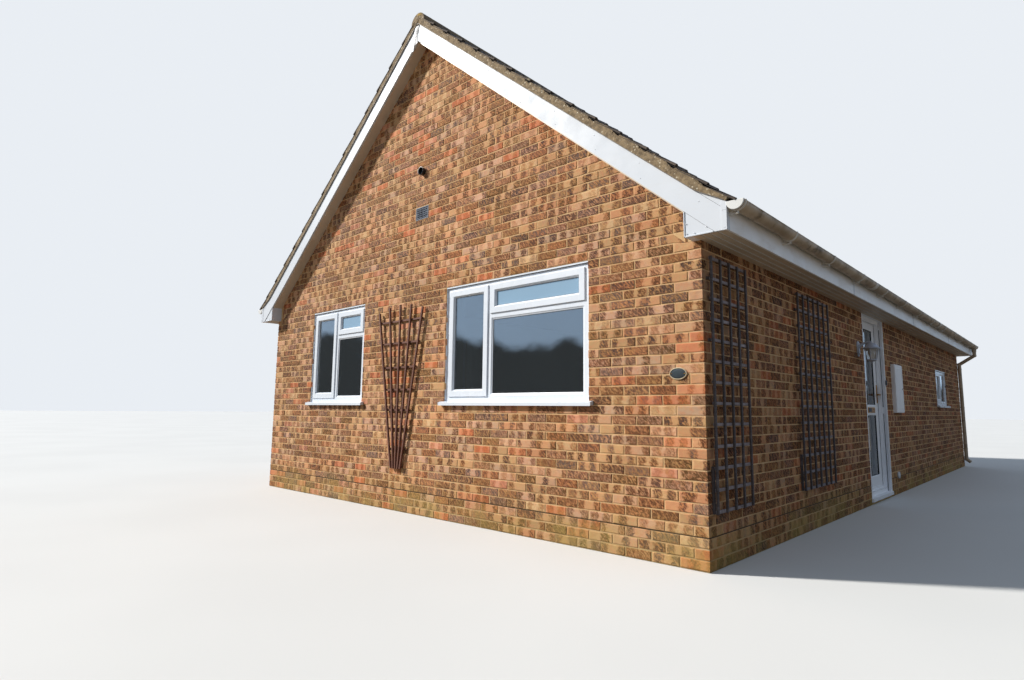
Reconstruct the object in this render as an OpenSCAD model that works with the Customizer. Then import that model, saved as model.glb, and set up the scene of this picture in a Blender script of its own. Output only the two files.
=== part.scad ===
// Brick bungalow with a tiled gable roof, its front gable facing -Y and its side door facing +X.
// Millimetres, +Z up, origin on the ground under the middle of the house.

/* [Walls] */
// Width of the gable, outside the brickwork
wall_w = 6515; // [5840:225:7640]
// Length of the side walls, outside the brickwork
wall_l = 11802; // [10452:225:13602]
// Thickness of the cavity wall
wall_t = 265; // [235:5:300]
// Top of the floor inside
floor_z = 90; // [60:5:140]
// Thickness of the floor slab
floor_t = 90; // [50:5:90]

/* [Roof] */
// Pitch of the roof in degrees
pitch = 40; // [30:1:45]
// Height of the rafters' top where it passes over the outer wall face
rafter_top_z = 2662; // [2640:1:2700]
// Depth of the rafters, square to the slope
rafter_d = 100; // [75:5:110]
// Overhang from the side wall to the face of the fascia
eaves_out = 260; // [220:5:320]
// Overhang from the gable wall to the face of the bargeboard
verge_out = 140; // [110:5:200]
// Level run of the flatter foot of the roof, back from the fascia's face
foot_run = 223; // [180:1:260]
// Height of the tiled surface above the rafters, square to the slope
tile_top = 75; // [68:1:85]
// Thickness of a roof tile at its nose
tile_t = 22; // [15:1:28]
// Largest distance between the noses of two tile courses
tile_gauge = 320; // [300:5:345]
// Nose of the first full course, down the main slope from the bend
tile_drop = 80; // [60:5:100]
// How far the tiles pass the fascia, along the slope
tile_eaves = 53; // [46:1:58]
// How far the eaves course stands off the foot, square to it
eaves_up = 20; // [18:1:24]
// How far the tiles pass the bargeboard
tile_verge = 45; // [35:1:60]
// Outer radius of the half-round ridge tiles
ridge_r = 115; // [105:1:130]
// Wall of a ridge tile
ridge_t = 18; // [12:1:20]
// Length of one ridge tile with its joint
ridge_len = 456; // [380:1:500]

/* [Eaves and verge boards] */
// Height of the soffit's underside above the ground
soffit_z = 2310; // [2290:1:2320]
// Thickness of the soffit boards
soffit_t = 9; // [6:1:12]
// Height of the fascia
fascia_h = 200; // [185:5:215]
// Thickness of the fascia and bargeboards
board_t = 18; // [12:1:22]
// Width of the bargeboard, square to the slope
barge_w = 160; // [145:5:180]
// How far the box end reaches in front of the gable wall
box_in = 60; // [40:5:100]
// Outer radius of the half-round gutter
gutter_r = 56; // [50:1:62]
// Wall of the gutter
gutter_t = 3; // [2:0.5:4]
// Distance between two gutter brackets, before it is evened out over the run
bracket_step = 1000; // [800:10:1100]
// Distance from the gutter's front end to its first bracket
bracket_front_in = 40; // [30:1:80]
// Distance from the gutter's rear end to its last bracket
bracket_rear_in = 42; // [30:1:80]
// Outer radius of the downpipe
pipe_r = 34; // [30:1:38]

/* [Windows] */
// Height of the window openings' underside
sill_z = 1125; // [975:75:1275]
// Height of the window openings' head
head_z = 2325; // [2325:1:2340]
// Brickwork between a front corner and the nearest window
pier_w = 1003; // [850:1:1100]
// Width of the large front window opening
large_w = 1810; // [1500:5:1900]
// Width of the small front window opening
small_w = 1210; // [1000:5:1300]
// Distance from the rear corner to the middle of the high side window
side_win_rear = 2150; // [1400:5:2600]
// Width of the high side window opening
side_win_w = 1070; // [800:5:1200]
// Height of the high side window opening
side_win_h = 675; // [450:75:750]
// Height of the high side window's head above the ground
side_win_top = 1875; // [1800:75:2100]
// Face width of the window frames and door frame
frame_w = 60; // [50:1:70]
// Depth of the window frames
frame_d = 65; // [60:1:75]
// Distance from the large window's left side to the middle of its mullion
large_side = 622; // [500:1:750]
// Distance from the small window's left side to the middle of its mullion
small_side = 582; // [450:1:650]
// Distance from the window head to the transom of the top light
transom_drop = 315; // [250:5:450]
// How far the window frames stand back from the wall face
frame_in = 18; // [12:1:30]
// Thickness of the window sills
sill_t = 35; // [28:1:45]
// How far the sills stand out from the wall
sill_out = 45; // [30:1:60]

/* [Side door] */
// Distance from the front corner to the doorway
door_at = 4265; // [3900:5:4500]
// Width of the doorway
door_w = 1040; // [1000:5:1150]
// Height of the threshold's top above the ground
threshold_z = 112; // [105:1:125]
// Height of the leaf's top above the ground
leaf_top_z = 2270; // [2150:5:2275]
// Depth of the door frame
door_frame_d = 95; // [90:1:110]
// How far the door frame stands back from the wall face
door_in = 45; // [35:1:55]
// Thickness of the door leaf
leaf_t = 48; // [44:1:56]
// Running gap round the door leaf
leaf_gap = 7; // [6:0.5:9]

/* [Fittings] */
// Height of the electricity meter box
meter_h = 670; // [600:5:700]
// Width of the meter box
meter_w = 470; // [420:5:520]
// How far the meter box stands out from the wall
meter_out = 52; // [45:1:80]
// Distance from the doorway to the meter box
meter_gap = 335; // [300:5:600]
// Height of the meter box above the ground
meter_z = 1090; // [900:5:1200]
// Height of the bell push's middle above the ground
bell_z = 1485; // [1200:5:1550]
// Radius of the round wall cap below the meter box
cap_r = 45; // [30:1:55]
// Height of the wall cap's middle above the ground
cap_z = 250; // [150:5:400]
// Distance from the middle of the lantern to the doorway
lantern_gap = 255; // [180:5:400]
// Height of the middle of the lantern's back plate
lantern_z = 1854; // [1700:2:1900]
// How far the lantern's middle stands out from the wall
lantern_out = 150; // [120:5:180]
// Width of the air brick in the gable
vent_w = 215; // [215:5:290]
// Height of the air brick
vent_h = 140; // [65:5:215]
// Height of the vent's middle above the ground
vent_z = 3220; // [3000:10:3500]
// Height of the small lamp above the vent
lamp_z = 3700; // [3500:10:3900]
// Radius of the small lamp
lamp_r = 32; // [25:1:45]
// Distance from the right corner to the middle of the number plate
plate_at = 200; // [150:5:400]
// Height of the number plate's middle above the ground
plate_z = 1354; // [1200:2:1600]
// Width of the oval number plate
plate_w = 140; // [120:5:200]
// Height of the oval number plate
plate_h = 90; // [70:5:120]
// Width of a square trellis bar
trellis_bar = 22; // [20:1:36]
// Distance between two square trellis bars
trellis_step = 150; // [140:1:160]
// How far the trellis backs stand off the wall
trellis_off = 20; // [15:1:30]
// Height of the square trellises' foot above the ground
trellis_z = 380; // [250:5:450]
// Height of a square trellis in bar distances
trellis_rows = 12; // [8:1:12]
// Distance from the front corner to the first square trellis
trellis_first = 55; // [30:5:200]
// Distance from the front corner to the second square trellis
trellis_second = 1850; // [1700:5:2200]
// Distance from the right corner to the middle of the fan trellis
fan_at = 3555; // [3300:5:3700]
// Height of the fan trellis above the ground
fan_z = 445; // [300:5:600]
// Length of the fan trellis
fan_h = 1780; // [1500:5:1800]
// Width of the fan trellis at its top
fan_top_w = 790; // [600:5:900]
// Width of the fan trellis at its foot
fan_foot_w = 165; // [120:5:250]
// Width of a fan trellis bar
fan_bar = 20; // [18:1:26]
// Heights of the fan trellis rails above its foot
fan_rails = [10, 192, 411, 613, 835, 1078, 1347, 1592];

/* [Hidden] */
$fn = 32;

half_w = wall_w / 2;
half_l = wall_l / 2;
brick_red = [0.62, 0.42, 0.30];
upvc_white = [0.93, 0.94, 0.95];
tile_dark = [0.25, 0.22, 0.20];
mortar_tan = [0.52, 0.45, 0.36];
timber_brown = [0.36, 0.24, 0.18];
cut = 1;
touch_gap = 0.3;

// Roof section, worked out on the +X side: the foot is the point above the fascia's face
foot_x = half_w + eaves_out;
foot_z = soffit_z + fascia_h;
bend_x = foot_x - foot_run;
bend_z = rafter_top_z + tan(pitch) * (half_w - bend_x);
apex_z = rafter_top_z + tan(pitch) * half_w;
foot_pitch = atan((bend_z - foot_z) / foot_run);
foot_len = foot_run / cos(foot_pitch);
main_len = bend_x / cos(pitch);
course_count = ceil((main_len + tile_drop) / tile_gauge);
gauge = (main_len + tile_drop) / course_count;
tile_under = tile_top - tile_t - 5;
drop = barge_w / cos(pitch);
tile_y = half_l + verge_out + tile_verge;

// Height of the line that runs parallel to the main slope, at a height up square to it
function slope_z(x, up) = apex_z - tan(pitch) * x + up / cos(pitch);

// A point at a distance s up a slope that starts at from, and up square to it
function on_slope(from, angle, s, up) =
    from + s * [-cos(angle), sin(angle)] + up * [sin(angle), cos(angle)];

// A point on the roof's flatter foot
function on_roof(s, up) = on_slope([foot_x, foot_z], foot_pitch, s, up);

// A point on the main slope above the bend
function on_main(s, up) = on_slope([bend_x, bend_z], pitch, s, up);

// Extrudes an X-Z outline along Y
module along_y(y0, y1) {
    translate([0, y1, 0]) rotate([90, 0, 0]) linear_extrude(y1 - y0) children();
}

// Repeats a piece at both ends of the house
module both_ends() {
    children();
    mirror([0, 1, 0]) children();
}

// Repeats a piece on both sides of the house
module both_sides() {
    children();
    mirror([1, 0, 0]) children();
}

// A box from one corner to the opposite one
module block(from, to) {
    translate(from) cube(to - from);
}

// Outline of a gable wall up to the underside of the rafters
module gable_outline() {
    polygon([[-half_w, 0], [half_w, 0], [half_w, slope_z(half_w, -rafter_d)], [0, slope_z(0, -rafter_d)],
        [-half_w, slope_z(half_w, -rafter_d)]]);
}

// Middle of the two front windows, from the middle of the house
large_x = half_w - pier_w - large_w / 2;
small_x = -half_w + pier_w + small_w / 2;

// Gable wall with its two windows, at the front
module gable_wall(vented) {
    difference() {
        along_y(-half_l, -half_l + wall_t) gable_outline();
        for (win = [[large_x, large_w], [small_x, small_w]])
            block([win[0] - win[1] / 2, -half_l - cut, sill_z],
                [win[0] + win[1] / 2, -half_l + wall_t + cut, head_z]);
        if (vented)
            block([-vent_w / 2, -half_l - cut, vent_z - vent_h / 2],
                [vent_w / 2, -half_l + wall_t + cut, vent_z + vent_h / 2]);
    }
}

// Side wall between the gable walls, from y0 to y1, its head following the rafters
module side_wall(y0, y1, z0) {
    along_y(y0, y1) polygon([[half_w - wall_t, z0], [half_w, z0], [half_w, slope_z(half_w, -rafter_d)],
        [half_w - wall_t, slope_z(half_w - wall_t, -rafter_d)]]);
}

side_y0 = -half_l + wall_t;
side_y1 = half_l - wall_t;
door_y0 = -half_l + door_at;
door_y1 = door_y0 + door_w;
side_win_y = half_l - side_win_rear;
left_win_y = [-half_l / 2, half_l / 2];

module floor_slab() {
    color([0.6, 0.6, 0.58])
        block([-half_w + wall_t, side_y0, floor_z - floor_t], [half_w - wall_t, side_y1, floor_z]);
}

module front_wall() {
    color(brick_red) gable_wall(true);
}

module back_wall() {
    color(brick_red) rotate([0, 0, 180]) gable_wall(false);
}

module left_wall() {
    color(brick_red) difference() {
        mirror([1, 0, 0]) side_wall(side_y0, side_y1, 0);
        for (y = left_win_y)
            block([-half_w - cut, y - small_w / 2, sill_z],
                [-half_w + wall_t + cut, y + small_w / 2, head_z]);
    }
}

module right_wall_front() {
    color(brick_red) side_wall(side_y0, door_y0, 0);
}

module right_wall_rear() {
    color(brick_red) difference() {
        side_wall(door_y1, side_y1, 0);
        block([half_w - wall_t - cut, side_win_y - side_win_w / 2, side_win_top - side_win_h],
            [half_w + cut, side_win_y + side_win_w / 2, side_win_top]);
    }
}

module right_wall_head() {
    color(brick_red) side_wall(door_y0, door_y1, head_z);
}

// Low wall and floor edge that the door frame stands on
module doorway_base() {
    color(brick_red) at_door() {
        block([-wall_t, 0, 0], [0, door_w, base_top]);
        block([-wall_t, 0, base_top - cut], [frame_back, door_w, floor_z]);
    }
}

// Rafter zone of one slope, to the back of the fascia and bargeboards
module roof_deck_right() {
    deck_x = foot_x - board_t;
    color(timber_brown) along_y(-half_l - verge_out + board_t, half_l + verge_out - board_t) polygon([
        [0, slope_z(0, -rafter_d)], [deck_x, slope_z(deck_x, -rafter_d)],
        [deck_x, foot_z + board_t * tan(foot_pitch)], [bend_x, bend_z], [0, apex_z]]);
}

module roof_deck_left() {
    mirror([1, 0, 0]) roof_deck_right();
}

// Tops of the tile courses: a low nose on the foot, then one nose for every course
tile_course_tops = concat(
    [on_roof(-tile_eaves, eaves_up + tile_t), on_main(-tile_drop, tile_top - tile_t)],
    [for (i = [0:course_count - 1], k = [0, 1])
        on_main((i + k) * gauge - tile_drop, tile_top - k * tile_t)]);

// Undersides of the tiles, from the ridge down to the end of the foot
tile_undersides = [on_main(main_len, tile_under), on_main(0, tile_under), on_roof(foot_len / 2, eaves_up),
    on_roof(0, eaves_up)];

// Tiled surface of one slope; below the tiles its battens stop short of the verges
module roof_tiles_right() {
    bed_y = half_l + verge_out - 30;
    color(tile_dark) {
        along_y(-tile_y, tile_y)
            polygon(concat([on_roof(-tile_eaves, eaves_up)], tile_course_tops, tile_undersides));
        along_y(-bed_y, bed_y) polygon([on_roof(0, 0), [bend_x, bend_z], [0, apex_z],
            on_main(main_len, tile_under + cut), on_main(0, tile_under + cut),
            on_roof(foot_len / 2, eaves_up + cut), on_roof(0, eaves_up + cut)]);
    }
}

module roof_tiles_left() {
    mirror([1, 0, 0]) roof_tiles_right();
}

ridge_z = apex_z + 5;
last_nose = on_main(main_len - gauge, tile_top + touch_gap);
last_end = on_main(main_len, tile_top - tile_t + touch_gap);

// Section of the space above the last tile course on both sides
module above_tiles() {
    top = ridge_z + ridge_r + 50;
    for (side = [-1, 1])
        polygon([[side * last_nose[0], last_nose[1]], [side * last_end[0], last_end[1]],
            [-side * cut, last_end[1]], [-side * cut, top], [side * last_nose[0], top]]);
}

module ridge_tiles() {
    count = round(2 * tile_y / ridge_len);
    step = 2 * tile_y / count;
    color([0.42, 0.37, 0.31]) for (i = [0:count - 1])
        along_y(-tile_y + i * step + 2, -tile_y + (i + 1) * step - 2) intersection() {
            difference() {
                translate([0, ridge_z]) circle(ridge_r, $fn = 48);
                translate([0, ridge_z]) circle(ridge_r - ridge_t, $fn = 48);
            }
            above_tiles();
        }
}

// Mortar bedding under the tile edges, from the barge top to the tiles, and the filled ridge ends
module verge_mortar() {
    y0 = -half_l - verge_out - tile_verge + 12;
    y1 = -half_l - verge_out + 30;
    color(mortar_tan) both_ends() {
        both_sides() along_y(y0, y1) polygon([
            on_roof(0, 0), on_roof(0, eaves_up), on_roof(foot_len / 2, eaves_up), on_main(0, tile_under),
            on_main(main_len, tile_under),
            [touch_gap, last_end[1] - tile_t], [touch_gap, apex_z], [bend_x, bend_z]]);
        along_y(y0, y0 + 40) intersection() {
            translate([0, ridge_z]) circle(ridge_r - ridge_t - touch_gap, $fn = 48);
            above_tiles();
        }
    }
}

// One bargeboard, its top edge following the roof's flatter foot
module bargeboard() {
    low_end_x = half_w + (slope_z(half_w, -barge_w) - soffit_z) / tan(pitch);
    along_y(-half_l - verge_out, -half_l - verge_out + board_t) polygon([
        [touch_gap, apex_z], [bend_x, bend_z], [foot_x, foot_z],
        [foot_x, soffit_z], [low_end_x, soffit_z], [touch_gap, slope_z(0, -barge_w)]]);
}

// Flat strip that covers the joint of two bargeboards
module apex_strip() {
    strip_w = 45;
    along_y(-half_l - verge_out - 4, -half_l - verge_out) polygon([
        [-strip_w, slope_z(strip_w, 0) - 8], [0, apex_z - 8],
        [0, slope_z(0, -barge_w) - 25], [-strip_w, slope_z(0, -barge_w) - 40]]);
}

module bargeboards_front() {
    color(upvc_white) {
        both_sides() bargeboard();
        apex_strip();
    }
}

module bargeboards_back() {
    color(upvc_white) rotate([0, 0, 180]) {
        both_sides() bargeboard();
        apex_strip();
    }
}

// Closed end of the eaves box: infill panel under the bargeboard, return to the wall and base
module box_end() {
    panel_t = 10;
    x0 = half_w - box_in;
    low_end_x = half_w + (slope_z(half_w, -barge_w) - soffit_z) / tan(pitch);
    y0 = -half_l - verge_out;
    along_y(y0 + 4, y0 + 4 + panel_t) polygon([[x0, soffit_z], [low_end_x - touch_gap, soffit_z],
        [x0, slope_z(x0, -barge_w) - touch_gap]]);
    along_y(y0 + 4, -half_l) polygon([[x0, soffit_z], [x0 + panel_t, soffit_z],
        [x0 + panel_t, slope_z(x0 + panel_t, -barge_w) - soffit_t / cos(pitch)],
        [x0, slope_z(x0, -barge_w) - soffit_t / cos(pitch)]]);
    block([x0, y0 + 4, soffit_z], [half_w, -half_l, soffit_z + soffit_t]);
}

module eaves_box_ends() {
    color(upvc_white) both_ends() both_sides() box_end();
}

// Boards under the overhanging verge, between the bargeboards and the gable wall
module verge_soffits() {
    x1 = half_w - box_in + 10;
    color(upvc_white) both_ends() both_sides() along_y(-half_l - verge_out + board_t, -half_l) polygon([
        [touch_gap, slope_z(0, -barge_w)], [x1, slope_z(x1, -barge_w)],
        [x1, slope_z(x1, -barge_w) - soffit_t / cos(pitch)],
        [touch_gap, slope_z(0, -barge_w) - soffit_t / cos(pitch)]]);
}

module fascia_boards() {
    y1 = half_l + verge_out - board_t;
    color(upvc_white) both_sides() along_y(-y1, y1) polygon([[foot_x - board_t, soffit_z], [foot_x, soffit_z],
        [foot_x, foot_z], [foot_x - board_t, foot_z + board_t * tan(foot_pitch)]]);
}

// Grooved boards under the eaves, between the wall and the fascia
module eaves_soffits() {
    y1 = half_l + verge_out - board_t;
    x1 = foot_x - board_t;
    groove_step = (x1 - half_w) / 4;
    groove_w = 8;
    color([0.80, 0.78, 0.74]) both_sides() difference() {
        block([half_w, -y1, soffit_z], [x1, y1, soffit_z + soffit_t]);
        for (i = [1:3])
            translate([half_w + i * groove_step - groove_w / 2, -y1 - cut, soffit_z - cut])
                cube([groove_w, 2 * y1 + 2 * cut, 5]);
    }
}

gutter_x = foot_x + 4 + gutter_r;
gutter_z = foot_z - 12;
gutter_y = half_l + verge_out;
outlet_y = half_l - 40;

// Half-round channel with a stop end at each end and an outlet to the downpipe
module gutter() {
    along_y(-gutter_y, gutter_y) translate([gutter_x, gutter_z]) difference() {
        circle(gutter_r, $fn = 48);
        circle(gutter_r - gutter_t, $fn = 48);
        translate([-2 * gutter_r, 0]) square(4 * gutter_r);
    }
    both_ends() along_y(-gutter_y, -gutter_y + gutter_t) translate([gutter_x, gutter_z]) difference() {
        circle(gutter_r, $fn = 48);
        translate([-2 * gutter_r, 0]) square(4 * gutter_r);
    }
}

module gutters() {
    color([0.72, 0.68, 0.62]) both_sides() gutter();
}

// Fascia bracket: a plate on the fascia and a half ring under the gutter
module bracket() {
    width = 26;
    ring_t = 4;
    along_y(-width / 2, width / 2) {
        translate([gutter_x, gutter_z]) difference() {
            circle(gutter_r + touch_gap + ring_t, $fn = 48);
            circle(gutter_r + touch_gap, $fn = 48);
            translate([-2 * gutter_r, 0]) square(4 * gutter_r);
            translate([-2 * gutter_r - 4 - gutter_r, -2 * gutter_r]) square(2 * gutter_r);
        }
        polygon([[foot_x, gutter_z - 62], [foot_x + 4, gutter_z - 62], [foot_x + 4, gutter_z - 45],
            [gutter_x - 36, gutter_z - 46], [gutter_x - 50, gutter_z - 28], [foot_x + 3.6, gutter_z - 12],
            [foot_x + 3.6, gutter_z], [foot_x, gutter_z]]);
    }
}

module gutter_brackets() {
    run = 2 * gutter_y - bracket_front_in - bracket_rear_in;
    count = max(round(run / bracket_step), 1);
    color([0.70, 0.66, 0.60]) both_sides() for (i = [0:count])
        translate([0, -gutter_y + bracket_front_in + i * run / count, 0]) bracket();
}

pipe_x = half_w + 12 + pipe_r;
pipe_drop = 190;
clip_low_z = 350;
clip_mid_z = 1200;
clip_drop = 110;
pipe_top_z = soffit_z - pipe_drop;

// Round pipe between two points in the X-Z plane
module pipe_run(x0, z0, x1, z1) {
    run = norm([x1 - x0, z1 - z0]);
    translate([x0, 0, z0]) rotate([0, atan2(x1 - x0, z1 - z0), 0]) cylinder(h = run, r = pipe_r);
}

// Moulded bend of a downpipe, a little fatter than the pipe
module bend(x, z) {
    translate([x, 0, z]) sphere(pipe_r + 4);
}

// Downpipe with its outlet under the gutter, offset bends, wall clips and shoe
module downpipe() {
    out_z = gutter_z - gutter_r;
    bend_top = out_z - 142;
    shoe_z = 150;
    translate([0, outlet_y, 0]) {
        translate([gutter_x, 0, out_z - 70]) cylinder(h = 69.5, r = pipe_r + 6);
        pipe_run(gutter_x, bend_top, gutter_x, out_z - 60);
        bend(gutter_x, bend_top);
        pipe_run(pipe_x, pipe_top_z, gutter_x, bend_top);
        bend(pipe_x, pipe_top_z);
        pipe_run(pipe_x, shoe_z, pipe_x, pipe_top_z);
        bend(pipe_x, shoe_z);
        pipe_run(pipe_x, shoe_z, pipe_x + 70, shoe_z - 60);
        for (z = [clip_low_z, clip_mid_z, pipe_top_z - clip_drop]) translate([0, 0, z]) {
            translate([pipe_x, 0, 0]) cylinder(h = 24, r = pipe_r + 4);
            block([half_w, -20, 2], [pipe_x, 20, 22]);
            block([half_w, -45, 0], [half_w + 6, 45, 24]);
        }
    }
}

module downpipes() {
    color([0.66, 0.62, 0.56]) both_sides() downpipe();
}

mull_w = 60;
sash_w = 58;
sash_lap = 14;
sash_out = 12;
sill_top = sill_z + sill_t;

// Window frame seen from outside, in its own X-Z plane: y grows into the wall, the mullion at mull_x
module window_frame(w, h, mull_x, transom) {
    fit = 2;
    x0 = -w / 2 + fit;
    x1 = w / 2 - fit;
    y0 = frame_in - cut;
    y1 = frame_in + frame_d + cut;
    top = h - fit - frame_w;
    mull_x0 = mull_x - mull_w / 2;
    mull_x1 = mull_x + mull_w / 2;
    difference() {
        block([x0, frame_in, 0], [x1, frame_in + frame_d, h - fit]);
        block([x0 + frame_w, y0, frame_w], [mull_x0, y1, top]);
        if (transom) {
            block([mull_x1, y0, frame_w], [x1 - frame_w, y1, h - transom_drop - mull_w]);
            block([mull_x1, y0, h - transom_drop], [x1 - frame_w, y1, top]);
        } else {
            block([mull_x1, y0, frame_w], [x1 - frame_w, y1, top]);
        }
    }
    sash(x0 + frame_w, mull_x0, frame_w, top);
    if (transom) sash(mull_x1, x1 - frame_w, h - transom_drop, top);
}

// Opening sash that stands proud of its frame
module sash(x0, x1, z0, z1) {
    lap = sash_lap;
    difference() {
        block([x0 - lap, frame_in - sash_out, z0 - lap], [x1 + lap, frame_in + frame_d - 20, z1 + lap]);
        block([x0 + sash_w - lap, frame_in - sash_out - cut, z0 + sash_w - lap],
            [x1 - sash_w + lap, frame_in + frame_d + cut, z1 - sash_w + lap]);
    }
}

// Panes that fill the same openings
module window_panes(w, h, mull_x, transom) {
    fit = 2;
    x0 = -w / 2 + fit + frame_w;
    x1 = w / 2 - fit - frame_w;
    in_sash = sash_w - sash_lap;
    y0 = frame_in + 12;
    y1 = frame_in + 36;
    top = h - fit - frame_w;
    mull_x0 = mull_x - mull_w / 2;
    mull_x1 = mull_x + mull_w / 2;
    block([x0 + in_sash, y0, frame_w + in_sash], [mull_x0 - in_sash, y1, top - in_sash]);
    if (transom) {
        block([mull_x1, y0, frame_w], [x1, y1, h - transom_drop - mull_w]);
        block([mull_x1 + in_sash, y0, h - transom_drop + in_sash], [x1 - in_sash, y1, top - in_sash]);
    } else {
        block([mull_x1, y0, frame_w], [x1, y1, top]);
    }
}

win_h = head_z - sill_top;
large_mull = -large_w / 2 + large_side;
small_mull = -small_w / 2 + small_side;

module at_front(x) {
    translate([x, -half_l, sill_top]) children();
}

module at_left(y) {
    translate([-half_w, y, sill_top]) rotate([0, 0, -90]) children();
}

module at_side() {
    translate([half_w, side_win_y, side_win_top - side_win_h + sill_t]) rotate([0, 0, 90]) children();
}

module front_window_large() {
    color(upvc_white) at_front(large_x) window_frame(large_w, win_h, large_mull, true);
}

module front_window_small() {
    color(upvc_white) at_front(small_x) window_frame(small_w, win_h, small_mull, true);
}

module side_window() {
    color(upvc_white) at_side() window_frame(side_win_w, side_win_h - sill_t, 0, false);
}

module left_windows() {
    color(upvc_white) for (y = left_win_y) at_left(y) window_frame(small_w, win_h, small_mull, true);
}

module back_windows() {
    color(upvc_white) rotate([0, 0, 180]) {
        at_front(large_x) window_frame(large_w, win_h, large_mull, true);
        at_front(small_x) window_frame(small_w, win_h, small_mull, true);
    }
}

module window_glass() {
    color([0.25, 0.3, 0.33]) {
        for (turn = [0, 180]) rotate([0, 0, turn]) {
            at_front(large_x) window_panes(large_w, win_h, large_mull, true);
            at_front(small_x) window_panes(small_w, win_h, small_mull, true);
        }
        for (y = left_win_y) at_left(y) window_panes(small_w, win_h, small_mull, true);
        at_side() window_panes(side_win_w, side_win_h - sill_t, 0, false);
    }
}

// Sill with a sloping top in front of the frame and horns past the opening
module sill(w) {
    horn = 40;
    translate([0, 0, -sill_t]) {
        block([-w / 2 + 1, -1, 0], [w / 2 - 1, frame_in + frame_d, sill_t]);
        translate([-w / 2 - horn, 0, 0]) rotate([90, 0, 90]) linear_extrude(w + 2 * horn)
            polygon([[-0.5, 0], [-sill_out, -6], [-sill_out, sill_t - 12], [-0.5, sill_t]]);
    }
}

module window_sills() {
    color(upvc_white) {
        for (turn = [0, 180]) rotate([0, 0, turn]) {
            at_front(large_x) sill(large_w);
            at_front(small_x) sill(small_w);
        }
        for (y = left_win_y) at_left(y) sill(small_w);
        at_side() sill(side_win_w);
    }
}

// Door pieces are drawn with x out of the wall, measured from its face, and y along it from the near jamb
module at_door() {
    translate([half_w, door_y0, 0]) children();
}

lip = 16;
jamb_in = frame_w - lip;
leaf_x1 = -door_in - 48;
leaf_x0 = leaf_x1 - leaf_t;
leaf_y0 = jamb_in + leaf_gap;
leaf_y1 = door_w - jamb_in - leaf_gap;
leaf_z0 = threshold_z + leaf_gap;
stile_w = 115;
rail_mid_z = 1122;
rail_mid_h = 110;
rail_low_h = 160;
rail_top_h = 85;
pane_y0 = leaf_y0 + stile_w;
pane_y1 = leaf_y1 - stile_w;
pane_spans = [[leaf_z0 + rail_low_h, rail_mid_z - rail_mid_h / 2],
    [rail_mid_z + rail_mid_h / 2, leaf_top_z - rail_top_h]];
frame_back = -door_in - door_frame_d;
base_top = 30;
hinge_r = 8;
pin_r = 4;
pin_gap = 0.3;
hinge_x = leaf_x0 - 10;
hinge_y = jamb_in + leaf_gap / 2;
hinge_half = 50;
hinge_at = [360, 1160, 1960];

module door_frame() {
    lip_back = leaf_x1 + 5;
    liner_t = 8;
    edge_w = 28;
    head_low = leaf_top_z + leaf_gap;
    color(upvc_white) at_door() {
        difference() {
            block([frame_back, 0, base_top], [-door_in, door_w, head_z]);
            block([lip_back, frame_w, threshold_z], [1, door_w - frame_w, head_low - lip]);
            block([frame_back - 1, jamb_in, threshold_z], [lip_back + cut, door_w - jamb_in, head_low]);
        }
        for (y = [0, door_w - liner_t])
            block([-door_in - cut, y, base_top], [-10, y + liner_t, soffit_z + cut]);
        for (y = [0, door_w - edge_w]) block([-12, y, base_top], [4, y + edge_w, soffit_z - touch_gap]);
        block([-door_in - cut, 0, soffit_z], [0, door_w, head_z]);
        block([-door_in, 8, base_top], [20, door_w - 8, threshold_z - 40]);
        for (z = hinge_at) translate([hinge_x, hinge_y, z]) {
            translate([0, 0, -hinge_half]) cylinder(h = hinge_half - pin_gap, r = hinge_r);
            translate([0, 0, -cut]) cylinder(h = hinge_half, r = pin_r);
            block([hinge_r - 2, -30, -hinge_half], [frame_back - hinge_x, 0, -pin_gap]);
        }
    }
}

module door_leaf() {
    color(upvc_white) at_door() difference() {
        block([leaf_x0, leaf_y0, leaf_z0], [leaf_x1, leaf_y1, leaf_top_z]);
        for (z = pane_spans) block([leaf_x0 - cut, pane_y0, z[0]], [leaf_x1 + cut, pane_y1, z[1]]);
    }
    color(upvc_white) at_door() for (z = hinge_at) translate([hinge_x, hinge_y, z]) difference() {
        union() {
            cylinder(h = hinge_half, r = hinge_r);
            block([hinge_r - 2, 0, 0], [leaf_x0 - hinge_x, 34, hinge_half]);
        }
        translate([0, 0, -cut]) cylinder(h = hinge_half + 2 * cut, r = pin_r + pin_gap);
    }
}

module door_glass() {
    x0 = leaf_x0 + 12;
    color([0.3, 0.34, 0.36]) at_door()
        for (z = pane_spans) block([x0, pane_y0, z[0]], [x0 + 24, pane_y1, z[1]]);
}

handle_z = 1305;

// Lever handle with a back plate, on both faces of the leaf
module door_handle() {
    y = leaf_y1 - 45;
    color([0.72, 0.56, 0.26]) at_door() for (side = [0, 1]) {
        face = side == 0 ? leaf_x1 : leaf_x0;
        out = side == 0 ? 1 : -1;
        translate([face, y, handle_z]) scale([out, 1, 1]) {
            block([0, -14, -90], [8, 14, 150]);
            translate([0, 0, 20]) rotate([0, 90, 0]) cylinder(h = 48, r = 9);
            block([36, -110, 12], [48, 9, 30]);
        }
    }
}

module letter_plate() {
    toward_handle = 110;
    y = (leaf_y0 + leaf_y1) / 2 + toward_handle;
    color([0.72, 0.56, 0.26]) at_door() {
        block([leaf_x1, y - 165, rail_mid_z - 35], [leaf_x1 + 6, y + 165, rail_mid_z + 35]);
        block([leaf_x1 + 6, y - 130, rail_mid_z - 20], [leaf_x1 + 10, y + 130, rail_mid_z + 22]);
    }
}

lantern_y = door_y0 - lantern_gap;

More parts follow.
